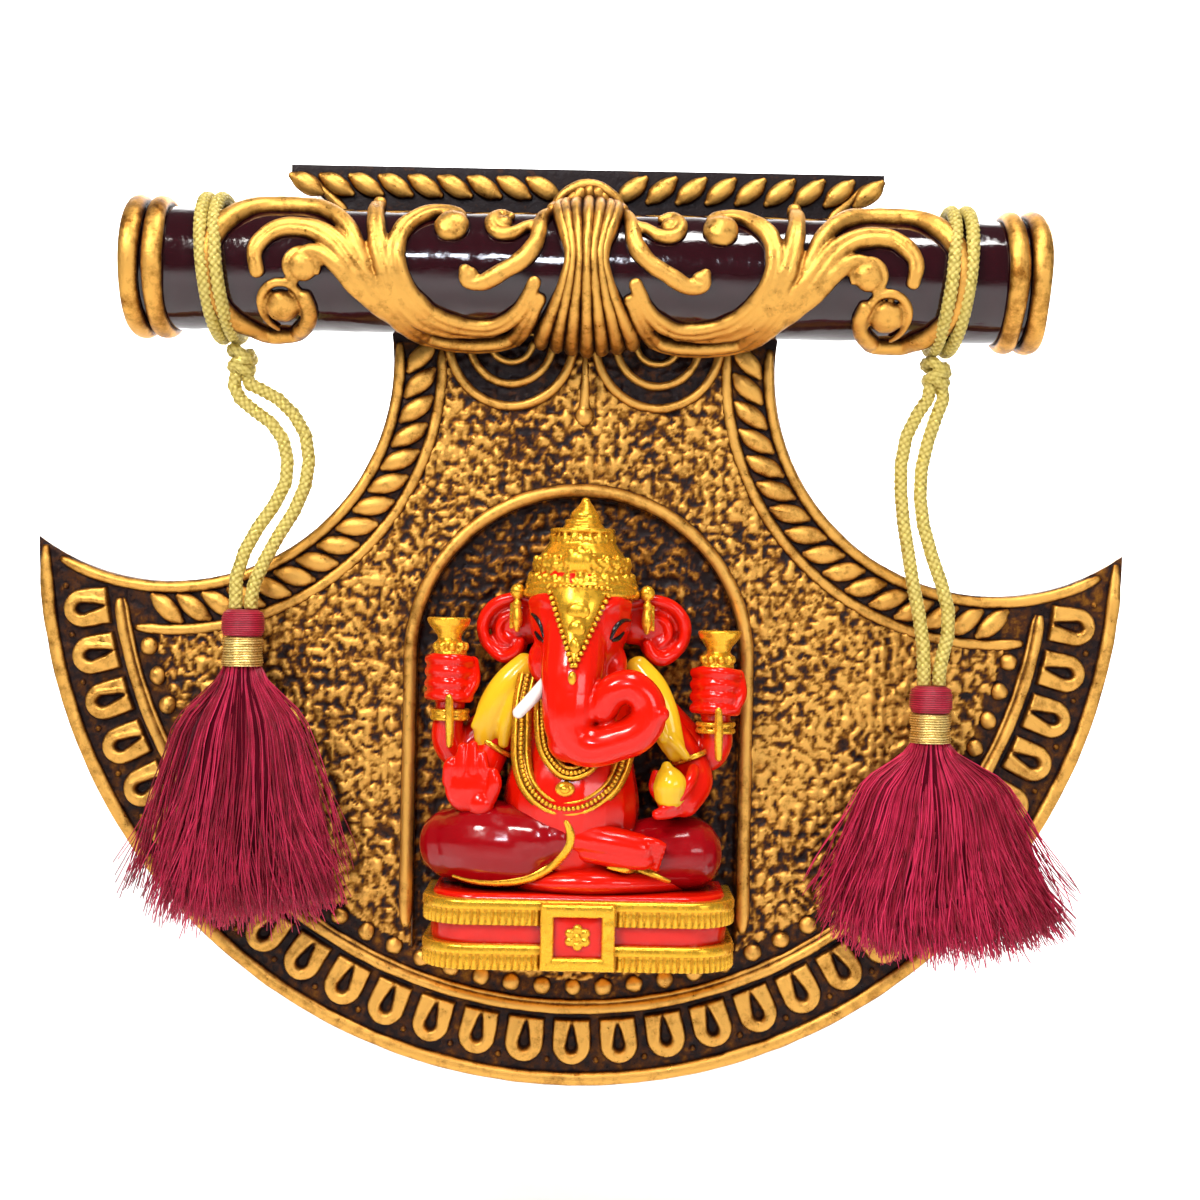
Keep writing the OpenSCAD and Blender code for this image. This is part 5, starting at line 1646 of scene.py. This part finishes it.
drops = []
for s in (-1, 1):
    x = 12.6 * s - 0.4
    drops += [bead((x, 10.9, 71.2), (1.5, 1.3, 1.6)), bead((x + 0.1 * s, 11.3, 68.6), (0.95, 0.9, 1.1)),
              limb([(x, 11.3, 68.0, 0.8), (x, 11.5, 65.6, 1.05), (x, 11.3, 63.8, 0.6)]),
              limb([(x + 1.1 * s, 11.0, 68.6, 0.4), (x + 1.2 * s, 11.1, 64.2, 0.4)])]
painted("ear_drops", drops, brightGold, None, 0.2, 1)
print("crown set")

# necklaces: two ribbed bands with beads, and a pendant
chains = [[(-7.6, 19.0, 50.5), (-7.4, 20.3, 45.5), (-6.6, 21.2, 41.4), (-4.4, 22.2, 38.3),
           (-2.2, 22.7, 37.2), (0.6, 22.6, 38.0),
           (3.4, 21.6, 40.9)],
          [(-10.6, 15.0, 55.0), (-11.4, 16.4, 50.0), (-11.5, 17.8, 45.0), (-11.4, 19.0, 39.5),
           (-10.0, 20.4, 34.8),
           (-6.6, 21.8, 31.4), (-2.6, 22.4, 30.4), (1.6, 22.2, 31.4), (5.4, 20.6, 34.2),
           (7.4, 19.0, 37.6), (8.4, 17.8, 41.4)]]
parts = []
for chain, wide, count in ((chains[0], 1.5, 60), (chains[1], 1.8, 110)):
    p = curvePoints(chain, count)
    path = np.array([at(q) for q in p])
    for off, thick in ((-wide * 0.62, 0.62), (wide * 0.62, 0.62)):
        side = np.cross(directions(path), (0, -1, 0))
        parts.append(sweep(path + side * off, thick * 1.5, thick * 1.8, (0, -1, 0), 8))
    parts.append(sweep(path + np.array([0, 0.4, 0]), wide * 2.2, 0.9, (0, -1, 0), 8))
    for i in range(0, count, 2):
        v, f = blob(path[i] + np.array([0, -0.45, 0]), (0.5, 0.5, 0.5), None, 8, 6)
        parts.append((v, f))
parts += [bead((-2.9, 22.5, 34.1), (1.9, 1.0, 1.5)), bead((-2.9, 23.3, 34.1), (1.0, 0.6, 0.8))]
painted("figure_necklaces", parts, brightGold, "necklace")

# shawl: folds over both shoulders
shawlFolds = [[(-11.0, 11.6, 57.0, 2.6), (-14.4, 12.0, 53.0, 3.3), (-17.2, 11.6, 48.0, 3.4),
               (-18.6, 11.2, 43.4, 2.6), (-18.2, 11.0, 40.8, 1.6)],
              [(-10.4, 12.8, 55.6, 1.2), (-13.0, 13.8, 50.4, 1.4), (-14.6, 13.6, 45.6, 1.4),
               (-15.2, 12.8, 41.6, 1.1)],
              [(-17.0, 12.8, 52.6, 0.9), (-19.2, 12.6, 48.2, 1.1), (-20.8, 12.2, 44.8, 0.9)],
              [(10.4, 11.0, 57.0, 2.4), (13.4, 11.6, 53.2, 2.9), (15.6, 12.2, 48.6, 2.9),
               (16.8, 12.6, 44.0, 2.8), (18.4, 13.2, 40.4, 2.0)],
              [(15.2, 13.2, 45.4, 1.4), (17.8, 14.4, 42.6, 1.3), (20.2, 14.6, 39.8, 0.9)],
              [(12.6, 13.4, 51.4, 1.0), (14.4, 14.2, 47.2, 1.2), (15.8, 14.6, 43.2, 1.0)]]
figurePiece("shawl", limbs(shawlFolds, 0.8), yellowEnamel, "shawl", 0.32, 3)

for sideName, s in (("left", -1), ("right", 1)):
    fx, fu = (-25.8, 54.0) if s < 0 else (26.0, 52.4)
    arm = [limb([(14.0 * s, 6.0, 49.6, 3.4), (19.5 * s, 6.6, 43.6, 3.6), (24.0 * s, 7.6, 40.0, 3.7),
                 (26.2 * s, 9.2, 42.6, 3.3),
                 (fx, 10.6, fu - 5.2, 2.9), (fx, 11.0, fu, 3.9)])]
    for i in range(4):      # fingers closed round the handle
        up = fu + 3.6 - 2.3 * i
        arm.append(limb([(fx - 4.2, 10.2, up, 1.05), (fx - 2.4, 13.6, up + 0.3, 1.25),
                         (fx + 1.0, 14.8, up + 0.2, 1.25),
                         (fx + 3.6, 12.8, up - 0.2, 1.15)], 1, 30))
    arm.append(limb([(fx + 4.2, 11.0, fu + 3.2, 1.3), (fx + 4.4, 12.4, fu - 0.4, 1.5),
                     (fx + 3.2, 13.6, fu - 3.2, 1.1)]))
    figurePiece(f"{sideName}_rear_arm", arm, vermilion, f"rear_{sideName}_arm", 0.32, 2)
    cup = []
    turnProfile = [(0.3, -0.6), (3.0, -0.6), (3.3, 0.4), (2.5, 1.4), (2.9, 2.4), (2.2, 3.2), (2.6, 4.2),
                   (3.9, 5.9), (4.3, 7.0),
                   (3.9, 7.4), (2.6, 6.6), (0.3, 6.3)]
    cx, cy, ch = at((fx, 12.2, fu + 4.6))
    v, f = lathe(turnProfile, (cx, cy, ch), "Z", 40)
    lean = (v[:, 2] - ch) * 0.06 * s
    v[:, 0] += lean
    cup.append((v, f))
    for i in range(9):
        a = 2 * math.pi * i / 9
        cup.append(blob((cx + 2.9 * math.cos(a), cy + 2.9 * math.sin(a), ch + 1.7), (0.75, 0.75, 0.9),
                        None, 8, 6))
    cup.append(limb([(fx + 0.2, 15.6, fu - 3.4, 0.75), (fx + 0.3, 15.4, fu - 8.0, 0.85),
                     (fx + 0.4, 14.6, fu - 12.6, 0.7)]))
    for k in (0, 1):
        ring = np.array([at((fx + 3.5 * math.cos(a), 10.5 + 3.5 * math.sin(a), fu - 6.3 - 1.3 * k))
                         for a in turns(60)])
        cup.append(sweep(ring, 0.85, 1.1, (0, 0, 1), 10, closed=True))
    figurePiece(f"{sideName}_emblem", cup, brightGold, f"rear_{sideName}_emblem", 0.22, 1)

# the blessing hand, an open palm with its fingers together, and the hand that holds the sweet
palm = [limb([(-15.6, 8.0, 44.0, 3.4), (-18.6, 11.0, 37.6, 3.4), (-20.4, 14.0, 32.0, 3.5)]),
        bead((-21.2, 17.0, 33.4), (4.9, 2.3, 4.9)), bead((-19.0, 17.6, 30.4), (2.6, 2.2, 2.8))]
for i, (dx, top, r) in enumerate(((-3.9, 38.6, 1.15), (-1.5, 41.2, 1.3), (0.9, 41.6, 1.3),
                                  (3.0, 39.8, 1.2))):
    palm.append(limb([(-21.4 + dx, 17.3, 34.6, r * 1.1), (-21.5 + dx * 0.95, 17.8, 37.6, r),
                      (-21.4 + dx * 0.85, 17.6, top, r * 0.75)]))
palm.append(limb([(-17.6, 17.6, 31.2, 1.5), (-16.4, 18.6, 34.4, 1.4), (-16.6, 18.6, 36.6, 1.0)]))
figurePiece("left_hand", palm, vermilion, "front_left_arm", 0.3, 2)
hand = [limb([(16.6, 8.4, 45.0, 3.2), (20.8, 9.8, 39.4, 3.3), (22.4, 12.4, 35.0, 3.2),
              (19.8, 15.6, 31.6, 3.3)]),
        bead((18.2, 16.2, 32.0), (3.8, 2.6, 3.6))]
for i in range(4):
    hand.append(limb([(21.6 - 0.3 * i, 15.8, 37.6 - 2.3 * i, 1.2),
                      (20.6 - 1.1 * i, 18.4, 35.4 - 1.9 * i, 1.25),
                      (18.6 - 1.3 * i, 19.6, 32.6 - 1.1 * i, 1.1)]))
hand.append(limb([(15.2, 16.6, 32.4, 1.3), (14.2, 18.2, 34.4, 1.3), (14.3, 18.6, 36.8, 0.95)]))
figurePiece("right_hand", hand, vermilion, "front_right_arm", 0.3, 2)
figurePiece("sweet", [limb([(17.0, 18.4, 33.2, 3.1), (16.9, 18.8, 35.2, 3.3), (16.5, 18.9, 37.2, 2.3),
                            (16.3, 18.9, 38.3, 1.1)])],
            yellowEnamel, "modak", 0.25, 2)
bracelets = []
for centre, r, tilt in (((-16.9, 9.4, 41.0), 3.7, 0.55), ((20.9, 10.2, 39.6), 3.6, -0.35)):
    ring = []
    spin = Matrix.Rotation(tilt, 3, "Y")
    for a in turns(60):
        v = spin @ Vector((r * math.cos(a), r * math.sin(a), 0))
        ring.append(at((centre[0] + v.x, centre[1] + v.y, centre[2] + v.z)))
    bracelets.append(sweep(np.array(ring), 0.8, 1.1, (0, 0, 1), 10, closed=True))
painted("figure_bracelets", bracelets, brightGold)
print("figure finished")


room = dict(wall=1.5, floor=-0.19, bend=0.6, wide=4.0, high=3.0, front=-3.0, glow=0.11, sky=0.9,
            aim=(0, 0.0, -0.04), washAim=(0, 1.5, 0.9))


def backdrop():
    mat, tree, shader = newMaterial("plasterWall")
    drive(tree, shader, "Base Color", grain(tree, 6.0, 4),
          [(0.3, (0.86, 0.86, 0.86)), (0.7, (0.89, 0.89, 0.885))])
    shader.inputs["Roughness"].default_value = 0.9
    section = [(room["wall"], room["high"])]
    for t in np.linspace(0, math.pi / 2, 16):
        section.append((room["wall"] - room["bend"] * (1 - math.cos(t)),
                        room["floor"] + room["bend"] * (1 - math.sin(t))))
    section.append((room["front"], room["floor"]))
    verts = [(s * room["wide"], y, z) for y, z in section for s in (-1, 1)]
    faces = [(2 * i, 2 * i + 2, 2 * i + 3, 2 * i + 1) for i in range(len(section) - 1)]
    mesh = bpy.data.meshes.new("backdrop")
    mesh.from_pydata(verts, [], faces)
    mesh.materials.append(mat)
    obj = bpy.data.objects.new("backdrop", mesh)
    bpy.context.scene.collection.objects.link(obj)
    obj.data.shade_smooth()


backdrop()
lamps = dict(      # place, size, power, tint
    key=((-0.38, -0.6, 0.5), 0.2, 5.2, (1.0, 0.97, 0.92)),
    fill=((0.55, -0.7, 0.15), 0.25, 1.3, (0.95, 0.97, 1.0)),
    top=((0.1, -0.22, 0.6), 0.2, 2.6, (1.0, 0.99, 0.97)),
    window=((-0.05, -0.75, 0.3), 0.09, 1.5, (0.82, 0.88, 1.0)),
    low=((0.1, -0.6, -0.45), 0.3, 0.3, (1.0, 0.93, 0.85)),
    wallWash=((0.0, 0.8, 1.0), 1.0, 75.0, (1.0, 1.0, 1.0)),
    rear=((0.6, 0.7, 0.35), 0.3, 3.0, (1.0, 0.98, 0.95)))
for name, (place, size, power, tint) in lamps.items():
    lamp = bpy.data.lights.new(name, "AREA")
    lamp.size, lamp.energy, lamp.color = size, power, tint
    obj = bpy.data.objects.new(name, lamp)
    obj.location = place
    aim = room["washAim"] if name == "wallWash" else room["aim"]
    obj.rotation_euler = (Vector(aim) - Vector(place)).to_track_quat("-Z", "Y").to_euler()
    bpy.context.scene.collection.objects.link(obj)
# the sky lights the object a little, and looks pale behind it
world = bpy.data.worlds.new("studio")
world.use_nodes = True
sky = world.node_tree
dim = sky.nodes["Background"]
dim.inputs["Color"].default_value = (1, 1, 1, 1)
dim.inputs["Strength"].default_value = room["glow"]
pale = addNode(sky, "ShaderNodeBackground", Color=(room["sky"], room["sky"], room["sky"], 1),
               Strength=1.0)
pick = sky.nodes.new("ShaderNodeMixShader")
sky.links.new(sky.nodes.new("ShaderNodeLightPath").outputs["Is Camera Ray"], pick.inputs["Fac"])
sky.links.new(dim.outputs["Background"], pick.inputs[1])
sky.links.new(pale.outputs["Background"], pick.inputs[2])
sky.links.new(pick.outputs["Shader"], sky.nodes["World Output"].inputs["Surface"])
bpy.context.scene.world = world
